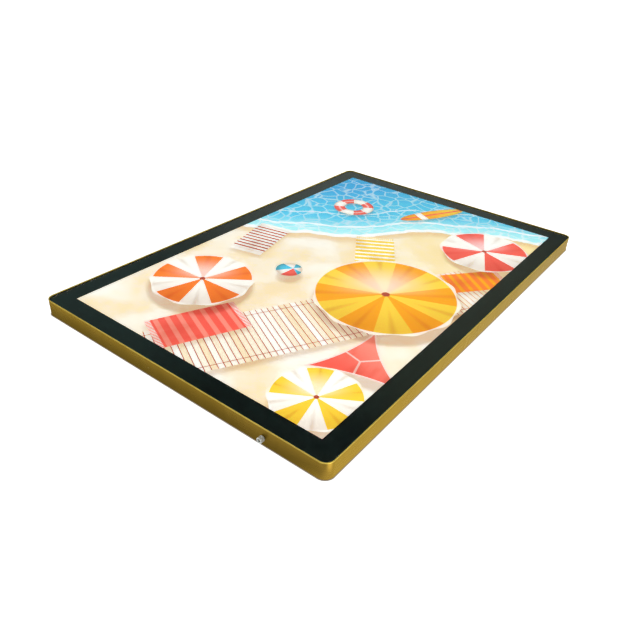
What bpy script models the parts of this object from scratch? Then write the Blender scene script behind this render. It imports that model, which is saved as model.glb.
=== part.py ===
"""Slim poster light box: a bent aluminium frame, a lift-off printed cover and an edge-lit light guide.

The box lies on its back. X runs across the poster, Y up the poster and Z out of its front.
"""

from math import cos, pi, radians, sin, sqrt

import bmesh
import bpy
from mathutils import Matrix, Vector

MM = 0.001

# Outer form of the box
BOX_WIDTH = 600 * MM
BOX_HEIGHT = 900 * MM
BOX_DEPTH = 30 * MM
CORNER_RADIUS = 15 * MM
ARC_STEPS = 18

# Clearances
SEAT_GAP = 0.3 * MM  # between a piece and what it rests on
COVER_GAP = 0.6 * MM  # round the cover, inside the frame's lip
BORE_GAP = 0.15 * MM  # round a shank or a pin in its bore
CUT_OVERRUN = 2 * MM  # how far a cutter runs past what it cuts
WELD_REACH = 0.01 * MM  # points nearer than this are one point

# Frame extrusion
WALL_THICK = 1.4 * MM
WALL_EASE = 0.3 * MM
LEDGE_THICK = 1.6 * MM
RIB_THICK = 1.2 * MM
RIB_DROP = 1.1 * MM  # how far the magnet rib stays below the magnets' faces
FLANGE_THICK = 1.4 * MM
FLANGE_REACH = 13 * MM
INNER_RADIUS = 0.5 * MM  # where a ledge or flange turns the corner inside the bend
RELIEF_WIDTH = 1.6 * MM  # mitre slot through ledge and flange, which lets the wall bend
RELIEF_MARGIN = 1 * MM

# Cover panel with its printed border and steel keepers
LIP_PROUD = 1.5 * MM
COVER_THICK = 3 * MM
COVER_EASE = 0.3 * MM
INK_THICK = 0.3 * MM
INK_MARGIN = 0.3 * MM
BORDER_WIDTH = 34.5 * MM
WINDOW_RADIUS = 0.8 * MM
KEEPER_THICK = 1 * MM
KEEPER_END_GAP = 10 * MM  # from the corner's bend to a keeper's end

# Magnets in the groove of the ledge
MAGNET_LENGTH = 20 * MM
MAGNET_WIDTH = 10 * MM
MAGNET_THICK = 3 * MM
MAGNET_EASE = 0.4 * MM
MAGNET_SIDE_GAP = 0.7 * MM
MAGNET_FIRST = 90 * MM
LONG_SIDE_MAGNET_COUNT = 4
SHORT_SIDE_MAGNET_COUNT = 2

# Poster and light guide stack
POSTER_GAP = 1 * MM
POSTER_THICK = 0.3 * MM
POSTER_MARGIN = 3 * MM
DIFFUSER_THICK = 1 * MM
GUIDE_THICK = 4 * MM
REFLECTOR_THICK = 0.5 * MM
SHEET_RADIUS = 2 * MM
SHEET_STEPS = 3

# LED bars
BAR_THICK = 1 * MM
BAR_MARGIN = 1.2 * MM  # of the board above and below its lamps
BAR_END_GAP = 1 * MM
LAMP_LENGTH = 3.5 * MM
LAMP_HEIGHT = 2.8 * MM
LAMP_RISE = 0.8 * MM
LAMP_PITCH = 20 * MM
LAMP_TO_GUIDE = 0.5 * MM

# Rails that hold the light guide's edges
RAIL_WALL = 1.2 * MM
RAIL_SHELF = 12 * MM
RAIL_LIP_THICK = 0.8 * MM
RAIL_FOOT_GAP = 2.6 * MM
RAIL_END_GAP = 5.3 * MM  # from the corner's bend to a side rail's end

# Cross bars under the light guide
CROSS_WIDTH = 24 * MM
CROSS_WALL = 1.2 * MM
CROSS_FOOT = 9 * MM
CROSS_END_GAP = 2 * MM
CROSS_PLACE_SHARE = 1 / 6

# Back panel and its screws
BACK_THICK = 1.2 * MM
BACK_GAP = 0.4 * MM
SCREW_INSET = 8 * MM
SCREW_FIRST = 70 * MM
LONG_SIDE_SCREW_COUNT = 4
SHORT_SIDE_SCREW_COUNT = 2
SCREW_RADIUS = 1.45 * MM
SCREW_HEAD_RADIUS = 2.6 * MM
SCREW_HEAD_THICK = 0.8 * MM
SCREW_HEAD_EASE = 0.4 * MM
SCREW_HEAD_SET = 0.5 * MM  # how far the heads stay inside the back rim
SCREW_TIP = 1 * MM
SMALL_STEPS = 12

# Hanger plates behind the keyholes
HANGER_SIDE = 100 * MM
HANGER_TOP = 70 * MM
HANGER_WIDTH = 50 * MM
HANGER_HEIGHT = 44 * MM
HANGER_THICK = 1.5 * MM
HANGER_CORNER = 4 * MM
KEY_RADIUS = 4.5 * MM
KEY_SLOT = 4.8 * MM
KEY_RISE = 12 * MM
RIVET_EDGE = 7 * MM  # from the plate's side to a rivet's axis
RIVET_RADIUS = 1.6 * MM
RIVET_HEAD_RADIUS = 3 * MM
RIVET_HEAD_THICK = 0.8 * MM
RIVET_TAIL_RADIUS = 2.4 * MM
RIVET_TAIL_THICK = 1.2 * MM

# Low-voltage inlet in the bottom wall
INLET_SIDE = 107 * MM  # from the box's right face
BARREL_OUT = 7.5 * MM
BARREL_RADIUS = 4.5 * MM
BARREL_EASE = 0.4 * MM
BARREL_BORE = 2.9 * MM
BARREL_FLOOR = 0.9 * MM  # from the frame's wall to the floor of the barrel's bore
NECK_RADIUS = 3 * MM
NECK_BORE = 2.2 * MM
NECK_IN = 5 * MM
NUT_ACROSS = 8 * MM
NUT_THICK = 2.2 * MM
TAIL_IN = 8 * MM
DISC_THICK = 1 * MM
PIN_RADIUS = 1 * MM
PIN_SET = 1.2 * MM  # how far the pin's tip stays inside the barrel's mouth
PIN_TAIL = 1 * MM
TURN_STEPS = 24

# Supply leads
LEAD_RADIUS = 0.6 * MM
LEAD_TAG = 1.5 * MM  # from the inlet's end to where a lead leaves it
LEAD_DIP = 14 * MM  # the length over which a lead comes down onto the rail
LEAD_RISE = 3.3 * MM  # from a side rail's end to where a lead rises to its LED bar
LEAD_STEPS = 6

# Levels of the stack, worked out from the front
cover_top = BOX_DEPTH - LIP_PROUD
cover_low = cover_top - COVER_THICK
ink_top = cover_low - SEAT_GAP
ink_low = ink_top - INK_THICK
keeper_top = ink_low - SEAT_GAP
keeper_low = keeper_top - KEEPER_THICK
magnet_top = keeper_low - SEAT_GAP
magnet_low = magnet_top - MAGNET_THICK
ledge_top = magnet_low - SEAT_GAP
ledge_low = ledge_top - LEDGE_THICK
rib_top = magnet_top - RIB_DROP
poster_top = ink_low - POSTER_GAP
poster_low = poster_top - POSTER_THICK
diffuser_top = poster_low - SEAT_GAP
diffuser_low = diffuser_top - DIFFUSER_THICK
guide_top = diffuser_low - SEAT_GAP
guide_low = guide_top - GUIDE_THICK
reflector_top = guide_low - SEAT_GAP
reflector_low = reflector_top - REFLECTOR_THICK

# Levels of the LED bars, level with the light guide, and of the rails' pocket for them
guide_middle = (guide_top + guide_low) / 2
bar_low = guide_middle - LAMP_HEIGHT / 2 - BAR_MARGIN
bar_top = guide_middle + LAMP_HEIGHT / 2 + BAR_MARGIN
pocket_low = bar_low - SEAT_GAP
pocket_top = bar_top + SEAT_GAP
rail_top = pocket_top + RAIL_LIP_THICK
shelf_top = reflector_low - SEAT_GAP
shelf_low = min(shelf_top, pocket_low) - RAIL_WALL

# Levels worked out from the back
back_low = SCREW_HEAD_SET + SCREW_HEAD_THICK + SEAT_GAP
back_top = back_low + BACK_THICK
hanger_low = back_top + SEAT_GAP
hanger_top = hanger_low + HANGER_THICK
flange_low = back_top + SEAT_GAP
flange_top = flange_low + FLANGE_THICK
foot_low = flange_top + SEAT_GAP
foot_top = foot_low + RAIL_WALL
inlet_level = (foot_top + ledge_low) / 2
lead_level = foot_top + SEAT_GAP + LEAD_RADIUS

# Distances inwards from the box's outer faces
cover_inset = WALL_THICK + COVER_GAP
ink_inset = cover_inset + INK_MARGIN
window_inset = ink_inset + BORDER_WIDTH
magnet_inset = WALL_THICK + MAGNET_SIDE_GAP
rib_inset = magnet_inset + MAGNET_WIDTH + MAGNET_SIDE_GAP
ledge_reach = rib_inset + RIB_THICK
rail_inset = ledge_reach + SEAT_GAP
rail_face = rail_inset + RAIL_WALL
foot_inset = WALL_THICK + RAIL_FOOT_GAP
bar_inset = rail_face + SEAT_GAP
lamp_inset = bar_inset + BAR_THICK
lamp_reach = lamp_inset + LAMP_RISE
guide_inset = lamp_reach + LAMP_TO_GUIDE
shelf_reach = rail_face + RAIL_SHELF
back_inset = WALL_THICK + BACK_GAP
poster_inset = guide_inset + POSTER_MARGIN
lane_inset = (SCREW_INSET + SCREW_RADIUS + rail_inset) / 2
inlet_across = BOX_WIDTH / 2 - INLET_SIDE

# Lengths of the rails and of what lies in them
side_rail_first = max(CORNER_RADIUS, rail_inset) + RAIL_END_GAP
side_rail_length = BOX_HEIGHT - 2 * side_rail_first
end_rail_length = BOX_WIDTH - 2 * (shelf_reach + SEAT_GAP)
bar_length = side_rail_length - 2 * BAR_END_GAP
cross_length = BOX_WIDTH - 2 * (shelf_reach + CROSS_END_GAP)

# Each side's turn about Z, which points its own X axis into the box
SIDE_TURNS = {"left": 0, "bottom": 90, "right": 180, "top": 270}
LONG_SIDES = ("left", "right")
CORNER_SIGNS = ((1, 1), (-1, 1), (-1, -1), (1, -1))


def clear_scene():
    for item in list(bpy.data.objects):
        bpy.data.objects.remove(item)


def finish(name, colour, roughness, metallic=0.0, alpha=1.0):
    material = bpy.data.materials.new(name)
    material.use_nodes = True
    shader = material.node_tree.nodes["Principled BSDF"]
    shader.inputs["Base Color"].default_value = (*colour, 1)
    shader.inputs["Roughness"].default_value = roughness
    shader.inputs["Metallic"].default_value = metallic
    shader.inputs["Alpha"].default_value = alpha
    material.diffuse_color = (*colour, alpha)
    return material


def carrier(name, place, parent=None):
    """An empty that carries the pieces of one body."""
    empty = bpy.data.objects.new(name, None)
    empty.location = place
    empty.parent = parent
    bpy.context.scene.collection.objects.link(empty)
    return empty


def add_object(name, data, material, parent, place=None):
    piece = bpy.data.objects.new(name, data)
    if material and not data.materials:
        data.materials.append(material)
    piece.parent = parent
    piece.matrix_local = place or Matrix.Identity(4)
    bpy.context.scene.collection.objects.link(piece)
    return piece


def mesh_from(bm, name):
    bmesh.ops.recalc_face_normals(bm, faces=bm.faces)
    mesh = bpy.data.meshes.new(name)
    bm.to_mesh(mesh)
    bm.free()
    mesh.shade_smooth()
    mesh.set_sharp_from_angle(angle=radians(30))
    return mesh


def solid(name, bm, material, parent, place=None):
    return add_object(name, mesh_from(bm, name), material, parent, place)


def cutter(name, bm, parent, place=None):
    """A hidden shape that is taken out of other pieces."""
    piece = solid(name, bm, None, parent, place)
    piece.hide_render = True
    piece.display_type = "WIRE"
    return piece


def cut(piece, *cutters):
    for shape in cutters:
        modifier = piece.modifiers.new(shape.name, "BOOLEAN")
        modifier.operation = "DIFFERENCE"
        modifier.object = shape
    shading = piece.modifiers.new("even_shading", "WEIGHTED_NORMAL")
    shading.keep_sharp = True


def ease_edges(piece, width):
    modifier = piece.modifiers.new("ease", "BEVEL")
    modifier.width = width
    modifier.segments = 1
    modifier.limit_method = "ANGLE"
    modifier.angle_limit = radians(60)
    modifier.harden_normals = True


def rounded_outline(half_width, half_height, radius, level, steps):
    """Points of a rectangle with round corners, anticlockwise at one level."""
    points = []
    for quarter, (x_sign, y_sign) in enumerate(CORNER_SIGNS):
        centre = Vector((x_sign * (half_width - radius), y_sign * (half_height - radius), level))
        for step in range(steps + 1):
            angle = (quarter + step / steps) * pi / 2
            points.append(centre + radius * Vector((cos(angle), sin(angle), 0)))
    return points


def box_outline(inset, level, least=INNER_RADIUS, steps=ARC_STEPS):
    """The box's outline, moved inwards; past the bend's centre the corner keeps its least radius."""
    radius = max(CORNER_RADIUS - inset, least)
    return rounded_outline(BOX_WIDTH / 2 - inset, BOX_HEIGHT / 2 - inset, radius, level, steps)


def swept_ring(loops):
    """A ring whose section runs from loop to loop and closes on itself."""
    bm = bmesh.new()
    rings = [[bm.verts.new(point) for point in points] for points in loops]
    for i, ring in enumerate(rings):
        behind = rings[i - 1]
        for j in range(len(ring)):
            bm.faces.new((behind[j - 1], behind[j], ring[j], ring[j - 1]))
    return bm


def pushed(points, way):
    """Fills an outline and extrudes it one way into a closed body."""
    bm = bmesh.new()
    face = bm.faces.new([bm.verts.new(point) for point in points])
    bmesh.ops.remove_doubles(bm, verts=face.verts[:], dist=WELD_REACH)
    moved = bmesh.ops.extrude_face_region(bm, geom=bm.faces[:])["geom"]
    verts = [part for part in moved if isinstance(part, bmesh.types.BMVert)]
    bmesh.ops.translate(bm, verts=verts, vec=way)
    return bm


def raised_plate(outline, height):
    return pushed(outline, (0, 0, height))


def extruded_bar(section, length):
    """A bar along Y, centred on it, from a section of X and Z."""
    outline = [(x, -length / 2, z) for x, z in section]
    return pushed(outline, (0, length, 0))


def box_section(x_low, x_high, z_low, z_high):
    return [(x_low, z_low), (x_high, z_low), (x_high, z_high), (x_low, z_high)]


def turned(profile, steps):
    """A solid turned about Z from radii and heights; a profile off the axis is closed on itself."""
    bm = bmesh.new()
    verts = [bm.verts.new((radius, 0, height)) for radius, height in profile]
    hollow = all(radius > 0 for radius, height in profile)
    first = 0 if hollow else 1
    edges = [bm.edges.new((verts[i - 1], verts[i])) for i in range(first, len(verts))]
    bmesh.ops.spin(bm, geom=verts + edges, axis=(0, 0, 1), cent=(0, 0, 0), angle=2 * pi, steps=steps)
    bmesh.ops.remove_doubles(bm, verts=bm.verts, dist=WELD_REACH)
    return bm


def cylinder(radius, low, high, steps):
    return turned([(0, low), (radius, low), (radius, high), (0, high)], steps)


def at_places(bm, places):
    """The same shape at each place, as one mesh."""
    copies = bmesh.new()
    for place in places:
        mesh = bpy.data.meshes.new("copy")
        bm.to_mesh(mesh)
        mesh.transform(place)
        copies.from_mesh(mesh)
        bpy.data.meshes.remove(mesh)
    bm.free()
    return copies


def side_matrix(side):
    """The middle of a side's outer face at the back plane, with X pointing into the box."""
    half = BOX_WIDTH / 2 if side in LONG_SIDES else BOX_HEIGHT / 2
    return Matrix.Rotation(radians(SIDE_TURNS[side]), 4, "Z") @ Matrix.Translation((-half, 0, 0))


def side_length(side):
    return BOX_HEIGHT if side in LONG_SIDES else BOX_WIDTH


def rows(long_count, short_count, first, inset):
    """Name and place of each piece in the rows that run along the four sides."""
    for side in SIDE_TURNS:
        count = long_count if side in LONG_SIDES else short_count
        reach = side_length(side) - 2 * first
        for number in range(count):
            offset = reach * (number / (count - 1) - 1 / 2)
            place = side_matrix(side) @ Matrix.Translation((inset, offset, 0))
            yield f"{side}_{number + 1}", place


def frame_extrusion(material, parent, screw_bores):
    """The bent frame: wall, lip, ledge with magnet rib and back flange, swept round the box."""
    section = [
        (0, WALL_EASE),
        (0, BOX_DEPTH - WALL_EASE),
        (WALL_EASE, BOX_DEPTH),
        (WALL_THICK - WALL_EASE, BOX_DEPTH),
        (WALL_THICK, BOX_DEPTH - WALL_EASE),
        (WALL_THICK, ledge_top),
        (rib_inset, ledge_top),
        (rib_inset, rib_top),
        (ledge_reach, rib_top),
        (ledge_reach, ledge_low),
        (WALL_THICK, ledge_low),
        (WALL_THICK, flange_top),
        (FLANGE_REACH, flange_top),
        (FLANGE_REACH, flange_low),
        (WALL_THICK, flange_low),
        (WALL_THICK, 0),
        (WALL_EASE, 0),
    ]
    ring = swept_ring([box_outline(*point) for point in section])
    frame = solid("frame_extrusion", ring, material, parent)
    cut(frame, corner_reliefs(parent), screw_bores, inlet_bore(parent))


def corner_reliefs(parent):
    """The slots on the corners' diagonals, from just inside the wall to past the ledge's edge."""
    edge_radius = max(CORNER_RADIUS - ledge_reach, INNER_RADIUS)
    edge = edge_radius - (ledge_reach + edge_radius - CORNER_RADIUS) * sqrt(2)
    outer_end = CORNER_RADIUS - WALL_THICK - RELIEF_MARGIN
    inner_end = edge - CUT_OVERRUN
    low = flange_low - CUT_OVERRUN
    high = rib_top + CUT_OVERRUN
    slot = bmesh.new()
    middle = Matrix.Translation(((outer_end + inner_end) / 2, 0, (low + high) / 2))
    size = Matrix.Diagonal((outer_end - inner_end, RELIEF_WIDTH, high - low, 1))
    bmesh.ops.create_cube(slot, size=1, matrix=middle @ size)
    places = []
    for quarter, (x_sign, y_sign) in enumerate(CORNER_SIGNS):
        x = x_sign * (BOX_WIDTH / 2 - CORNER_RADIUS)
        y = y_sign * (BOX_HEIGHT / 2 - CORNER_RADIUS)
        turn = Matrix.Rotation((quarter + 1 / 2) * pi / 2, 4, "Z")
        places.append(Matrix.Translation((x, y, 0)) @ turn)
    return cutter("corner_reliefs", at_places(slot, places), parent)


def screw_rows():
    return rows(LONG_SIDE_SCREW_COUNT, SHORT_SIDE_SCREW_COUNT, SCREW_FIRST, SCREW_INSET)


def screw_bore_cutter(parent):
    low = back_low - CUT_OVERRUN
    bore = cylinder(SCREW_RADIUS + BORE_GAP, low, foot_top + CUT_OVERRUN, SMALL_STEPS)
    places = [place for name, place in screw_rows()]
    return cutter("screw_bores", at_places(bore, places), parent)


def cover(materials, parent):
    """The lift-off front: clear panel, printed border on its back and steel keepers for the magnets."""
    panel = raised_plate(box_outline(cover_inset, cover_low), COVER_THICK)
    ease_edges(solid("cover_panel", panel, materials["clear"], parent), COVER_EASE)
    ink = swept_ring([
        box_outline(ink_inset, ink_low),
        box_outline(ink_inset, ink_top),
        box_outline(window_inset, ink_top, WINDOW_RADIUS),
        box_outline(window_inset, ink_low, WINDOW_RADIUS),
    ])
    solid("border_print", ink, materials["ink"], parent)
    section = box_section(magnet_inset, magnet_inset + MAGNET_WIDTH, keeper_low, keeper_top)
    for side in SIDE_TURNS:
        strip = extruded_bar(section, side_length(side) - 2 * (CORNER_RADIUS + KEEPER_END_GAP))
        solid(f"keeper_strip_{side}", strip, materials["zinc"], parent, side_matrix(side))


def magnets(material, parent):
    block = bmesh.new()
    middle = Matrix.Translation((0, 0, (magnet_low + magnet_top) / 2))
    size = Matrix.Diagonal((MAGNET_WIDTH, MAGNET_LENGTH, MAGNET_THICK, 1))
    bmesh.ops.create_cube(block, size=1, matrix=middle @ size)
    mesh = mesh_from(block, "magnet")
    middle_inset = magnet_inset + MAGNET_WIDTH / 2
    counts = (LONG_SIDE_MAGNET_COUNT, SHORT_SIDE_MAGNET_COUNT)
    for name, place in rows(*counts, MAGNET_FIRST, middle_inset):
        ease_edges(add_object(f"magnet_{name}", mesh, material, parent, place), MAGNET_EASE)


def sheets(materials, parent):
    """Poster, diffuser, light guide and reflector, from the front to the back."""
    stack = [
        ("poster_sheet", poster_inset, poster_low, POSTER_THICK, "poster"),
        ("diffuser_sheet", guide_inset, diffuser_low, DIFFUSER_THICK, "opal"),
        ("light_guide", guide_inset, guide_low, GUIDE_THICK, "guide"),
        ("reflector_sheet", guide_inset, reflector_low, REFLECTOR_THICK, "white"),
    ]
    for name, inset, low, thick, look in stack:
        outline = box_outline(inset, low, SHEET_RADIUS, SHEET_STEPS)
        solid(name, raised_plate(outline, thick), materials[look], parent)


def led_bar_mesh():
    """A narrow board with a row of lamps raised from its face."""
    count = int(bar_length / LAMP_PITCH)
    starts = [(number - (count - 1) / 2) * LAMP_PITCH - LAMP_LENGTH / 2 for number in range(count)]
    along = [-bar_length / 2]
    for start in starts:
        along += [start, start + LAMP_LENGTH]
    along.append(bar_length / 2)
    across = [bar_low, bar_low + BAR_MARGIN, bar_top - BAR_MARGIN, bar_top]
    bm = bmesh.new()
    grid = [[bm.verts.new((lamp_inset, y, z)) for z in across] for y in along]
    bands = [[], [], []]
    for i in range(len(along) - 1):
        for band in range(len(bands)):
            corners = (grid[i][band], grid[i + 1][band], grid[i + 1][band + 1], grid[i][band + 1])
            bands[band].append(bm.faces.new(corners))
    lamps = [face for i, face in enumerate(bands[1]) if i % 2]
    moved = bmesh.ops.extrude_face_region(bm, geom=bm.faces[:], use_keep_orig=True)["geom"]
    verts = [part for part in moved if isinstance(part, bmesh.types.BMVert)]
    bmesh.ops.translate(bm, verts=verts, vec=(-BAR_THICK, 0, 0))
    behind = [part for part in moved if isinstance(part, bmesh.types.BMFace)]
    for faces in (behind, bands[0], bands[2]):
        bmesh.ops.dissolve_faces(bm, faces=faces)
    raised = bmesh.ops.extrude_discrete_faces(bm, faces=lamps)["faces"]
    verts = list({vert for face in raised for vert in face.verts})
    bmesh.ops.translate(bm, verts=verts, vec=(LAMP_RISE, 0, 0))
    return mesh_from(bm, "led_bar")


def rail_section():
    """Foot over the frame's flange, wall, shelf under the light guide and pocket for the LED bar."""
    step = guide_inset - SEAT_GAP
    return [
        (foot_inset, foot_low),
        (rail_face, foot_low),
        (rail_face, shelf_low),
        (shelf_reach, shelf_low),
        (shelf_reach, shelf_top),
        (step, shelf_top),
        (step, pocket_low),
        (rail_face, pocket_low),
        (rail_face, pocket_top),
        (lamp_reach, pocket_top),
        (lamp_reach, rail_top),
        (rail_inset, rail_top),
        (rail_inset, foot_top),
        (foot_inset, foot_top),
    ]


def lighting(materials, parent, screw_bores):
    """Rails on the four sides, LED bars in the long ones and foam strips in the short ones."""
    bar = led_bar_mesh()
    side_rail = mesh_from(extruded_bar(rail_section(), side_rail_length), "side_rail")
    end_rail = mesh_from(extruded_bar(rail_section(), end_rail_length), "end_rail")
    foam_section = box_section(bar_inset, guide_inset - SEAT_GAP, bar_low, bar_top)
    foam = mesh_from(extruded_bar(foam_section, end_rail_length), "end_foam")
    for side in ("left", "right"):
        place = side_matrix(side)
        cut(add_object(f"led_rail_{side}", side_rail, materials["mill"], parent, place), screw_bores)
        add_object(f"led_bar_{side}", bar, materials["board"], parent, place)
    for side in ("top", "bottom"):
        place = side_matrix(side)
        cut(add_object(f"end_rail_{side}", end_rail, materials["mill"], parent, place), screw_bores)
        add_object(f"end_foam_{side}", foam, materials["foam"], parent, place)


def cross_bars(material, parent):
    """Hat-shaped bars that stand on the back panel and carry the middle of the light guide."""
    half = CROSS_WIDTH / 2
    low = back_top + SEAT_GAP
    section = [
        (-half - CROSS_FOOT, low),
        (-half + CROSS_WALL, low),
        (-half + CROSS_WALL, shelf_top - CROSS_WALL),
        (half - CROSS_WALL, shelf_top - CROSS_WALL),
        (half - CROSS_WALL, low),
        (half + CROSS_FOOT, low),
        (half + CROSS_FOOT, low + CROSS_WALL),
        (half, low + CROSS_WALL),
        (half, shelf_top),
        (-half, shelf_top),
        (-half, low + CROSS_WALL),
        (-half - CROSS_FOOT, low + CROSS_WALL),
    ]
    mesh = mesh_from(extruded_bar(section, cross_length), "cross_bar")
    for name, sign in (("upper", 1), ("lower", -1)):
        middle = Matrix.Translation((0, sign * CROSS_PLACE_SHARE * BOX_HEIGHT, 0))
        place = middle @ Matrix.Rotation(pi / 2, 4, "Z")
        add_object(f"cross_bar_{name}", mesh, material, parent, place)


def back(materials, parent, screw_bores):
    """The back panel with its screws, and a riveted hanger plate behind each keyhole."""
    hanger_places = {
        name: Matrix.Translation((sign * (BOX_WIDTH / 2 - HANGER_SIDE), BOX_HEIGHT / 2 - HANGER_TOP, 0))
        for name, sign in (("left", -1), ("right", 1))
    }
    spacing = HANGER_WIDTH - 2 * RIVET_EDGE
    rivet_places = {
        f"{name}_{number + 1}": place @ Matrix.Translation((spacing * (number - 1 / 2), 0, 0))
        for name, place in hanger_places.items()
        for number in range(2)
    }
    low = back_low - CUT_OVERRUN
    high = hanger_top + CUT_OVERRUN
    entry = cylinder(KEY_RADIUS, low, high, TURN_STEPS)
    slot_half = (KEY_RISE + KEY_SLOT / 2) / 2
    slot_outline = rounded_outline(KEY_SLOT / 2, slot_half, KEY_SLOT / 2, low, SMALL_STEPS)
    slot = raised_plate(slot_outline, high - low)
    slot.transform(Matrix.Translation((0, slot_half, 0)))
    rivet_bore = cylinder(RIVET_RADIUS + BORE_GAP, low, high, SMALL_STEPS)
    cuts = [
        cutter("key_entries", at_places(entry, hanger_places.values()), parent),
        cutter("key_slots", at_places(slot, hanger_places.values()), parent),
        cutter("rivet_bores", at_places(rivet_bore, rivet_places.values()), parent),
    ]
    sheet = raised_plate(box_outline(back_inset, back_low), BACK_THICK)
    cut(solid("back_panel", sheet, materials["back"], parent), screw_bores, *cuts)
    outline = rounded_outline(HANGER_WIDTH / 2, HANGER_HEIGHT / 2, HANGER_CORNER, hanger_low, SHEET_STEPS)
    plate = mesh_from(raised_plate(outline, HANGER_THICK), "hanger_plate")
    for name, place in hanger_places.items():
        cut(add_object(f"hanger_plate_{name}", plate, materials["zinc"], parent, place), *cuts)
    rivet = rivet_mesh()
    for name, place in rivet_places.items():
        add_object(f"hanger_rivet_{name}", rivet, materials["mill"], parent, place)
    screw = screw_mesh()
    for name, place in screw_rows():
        add_object(f"back_screw_{name}", screw, materials["steel"], parent, place)


def screw_mesh():
    """A pan-head screw that enters from the back; its tip ends above the rail's foot."""
    head_top = back_low - SEAT_GAP
    head_low = head_top - SCREW_HEAD_THICK
    profile = [
        (0, head_low),
        (SCREW_HEAD_RADIUS - SCREW_HEAD_EASE, head_low),
        (SCREW_HEAD_RADIUS, head_low + SCREW_HEAD_EASE),
        (SCREW_HEAD_RADIUS, head_top),
        (SCREW_RADIUS, head_top),
        (SCREW_RADIUS, foot_top),
        (0, foot_top + SCREW_TIP),
    ]
    return mesh_from(turned(profile, SMALL_STEPS), "back_screw")


def rivet_mesh():
    """A blind rivet: low dome outside, set bulb over the hanger plate inside."""
    head_top = back_low - SEAT_GAP
    head_low = head_top - RIVET_HEAD_THICK
    tail_low = hanger_top + SEAT_GAP
    profile = [
        (0, head_low),
        (RIVET_RADIUS, head_low),
        (RIVET_HEAD_RADIUS, head_top),
        (RIVET_RADIUS, head_top),
        (RIVET_RADIUS, tail_low),
        (RIVET_TAIL_RADIUS, tail_low),
        (RIVET_RADIUS, tail_low + RIVET_TAIL_THICK),
        (0, tail_low + RIVET_TAIL_THICK),
    ]
    return mesh_from(turned(profile, SMALL_STEPS), "hanger_rivet")


def inlet_place():
    """The wall's outer face where the inlet sits, with Z pointing out of the wall."""
    on_wall = Matrix.Translation((inlet_across, -BOX_HEIGHT / 2, inlet_level))
    return on_wall @ Matrix.Rotation(pi / 2, 4, "X")


def inlet_bore(parent):
    bore = cylinder(NECK_RADIUS + BORE_GAP, -WALL_THICK - CUT_OVERRUN, CUT_OVERRUN, TURN_STEPS)
    return cutter("inlet_bore", bore, parent, inlet_place())


def inlet(materials, parent):
    """The socket: barrel outside the wall, nut on its neck inside, insulator and contact pin."""
    neck_end = -WALL_THICK - NECK_IN
    tail_end = -WALL_THICK - TAIL_IN
    barrel = [
        (BARREL_RADIUS, SEAT_GAP),
        (BARREL_RADIUS, BARREL_OUT - BARREL_EASE),
        (BARREL_RADIUS - BARREL_EASE, BARREL_OUT),
        (BARREL_BORE, BARREL_OUT),
        (BARREL_BORE, BARREL_FLOOR),
        (NECK_BORE, BARREL_FLOOR),
        (NECK_BORE, neck_end),
        (NECK_RADIUS, neck_end),
        (NECK_RADIUS, SEAT_GAP),
    ]
    disc_low = BARREL_FLOOR + SEAT_GAP
    insulator = [
        (PIN_RADIUS + BORE_GAP, tail_end),
        (NECK_BORE - BORE_GAP, tail_end),
        (NECK_BORE - BORE_GAP, disc_low),
        (BARREL_BORE - BORE_GAP, disc_low),
        (BARREL_BORE - BORE_GAP, disc_low + DISC_THICK),
        (PIN_RADIUS + BORE_GAP, disc_low + DISC_THICK),
    ]
    tip = BARREL_OUT - PIN_SET
    pin = [
        (0, tail_end - PIN_TAIL),
        (PIN_RADIUS, tail_end - PIN_TAIL),
        (PIN_RADIUS, tip - PIN_RADIUS),
        (PIN_RADIUS * cos(pi / 4), tip - PIN_RADIUS + PIN_RADIUS * sin(pi / 4)),
        (0, tip),
    ]
    place = inlet_place()
    solid("inlet_barrel", turned(barrel, TURN_STEPS), materials["nickel"], parent, place)
    solid("inlet_insulator", turned(insulator, TURN_STEPS), materials["black"], parent, place)
    solid("inlet_pin", turned(pin, SMALL_STEPS), materials["brass"], parent, place)
    nut_top = -WALL_THICK - SEAT_GAP
    corner = NUT_ACROSS / 2 / cos(pi / 6)
    hexagon = [(corner * cos(i * pi / 3), corner * sin(i * pi / 3), nut_top) for i in range(6)]
    nut = solid("inlet_nut", raised_plate(hexagon, -NUT_THICK), materials["nickel"], parent, place)
    bore_low = nut_top - NUT_THICK - CUT_OVERRUN
    bore = cylinder(NECK_RADIUS + BORE_GAP, bore_low, nut_top + CUT_OVERRUN, TURN_STEPS)
    cut(nut, cutter("nut_bore", bore, parent, place))


def smooth_route(points, steps):
    """Points along a route whose bends are rounded off, never outside its own corners."""
    curve = [points[0]]
    for before, corner, after in zip(points, points[1:], points[2:]):
        start = before.lerp(corner, 1 / 2)
        end = corner.lerp(after, 1 / 2)
        for step in range(steps + 1):
            share = step / steps
            curve.append(start.lerp(corner, share).lerp(corner.lerp(end, share), share))
    return curve + [points[-1]]


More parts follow.
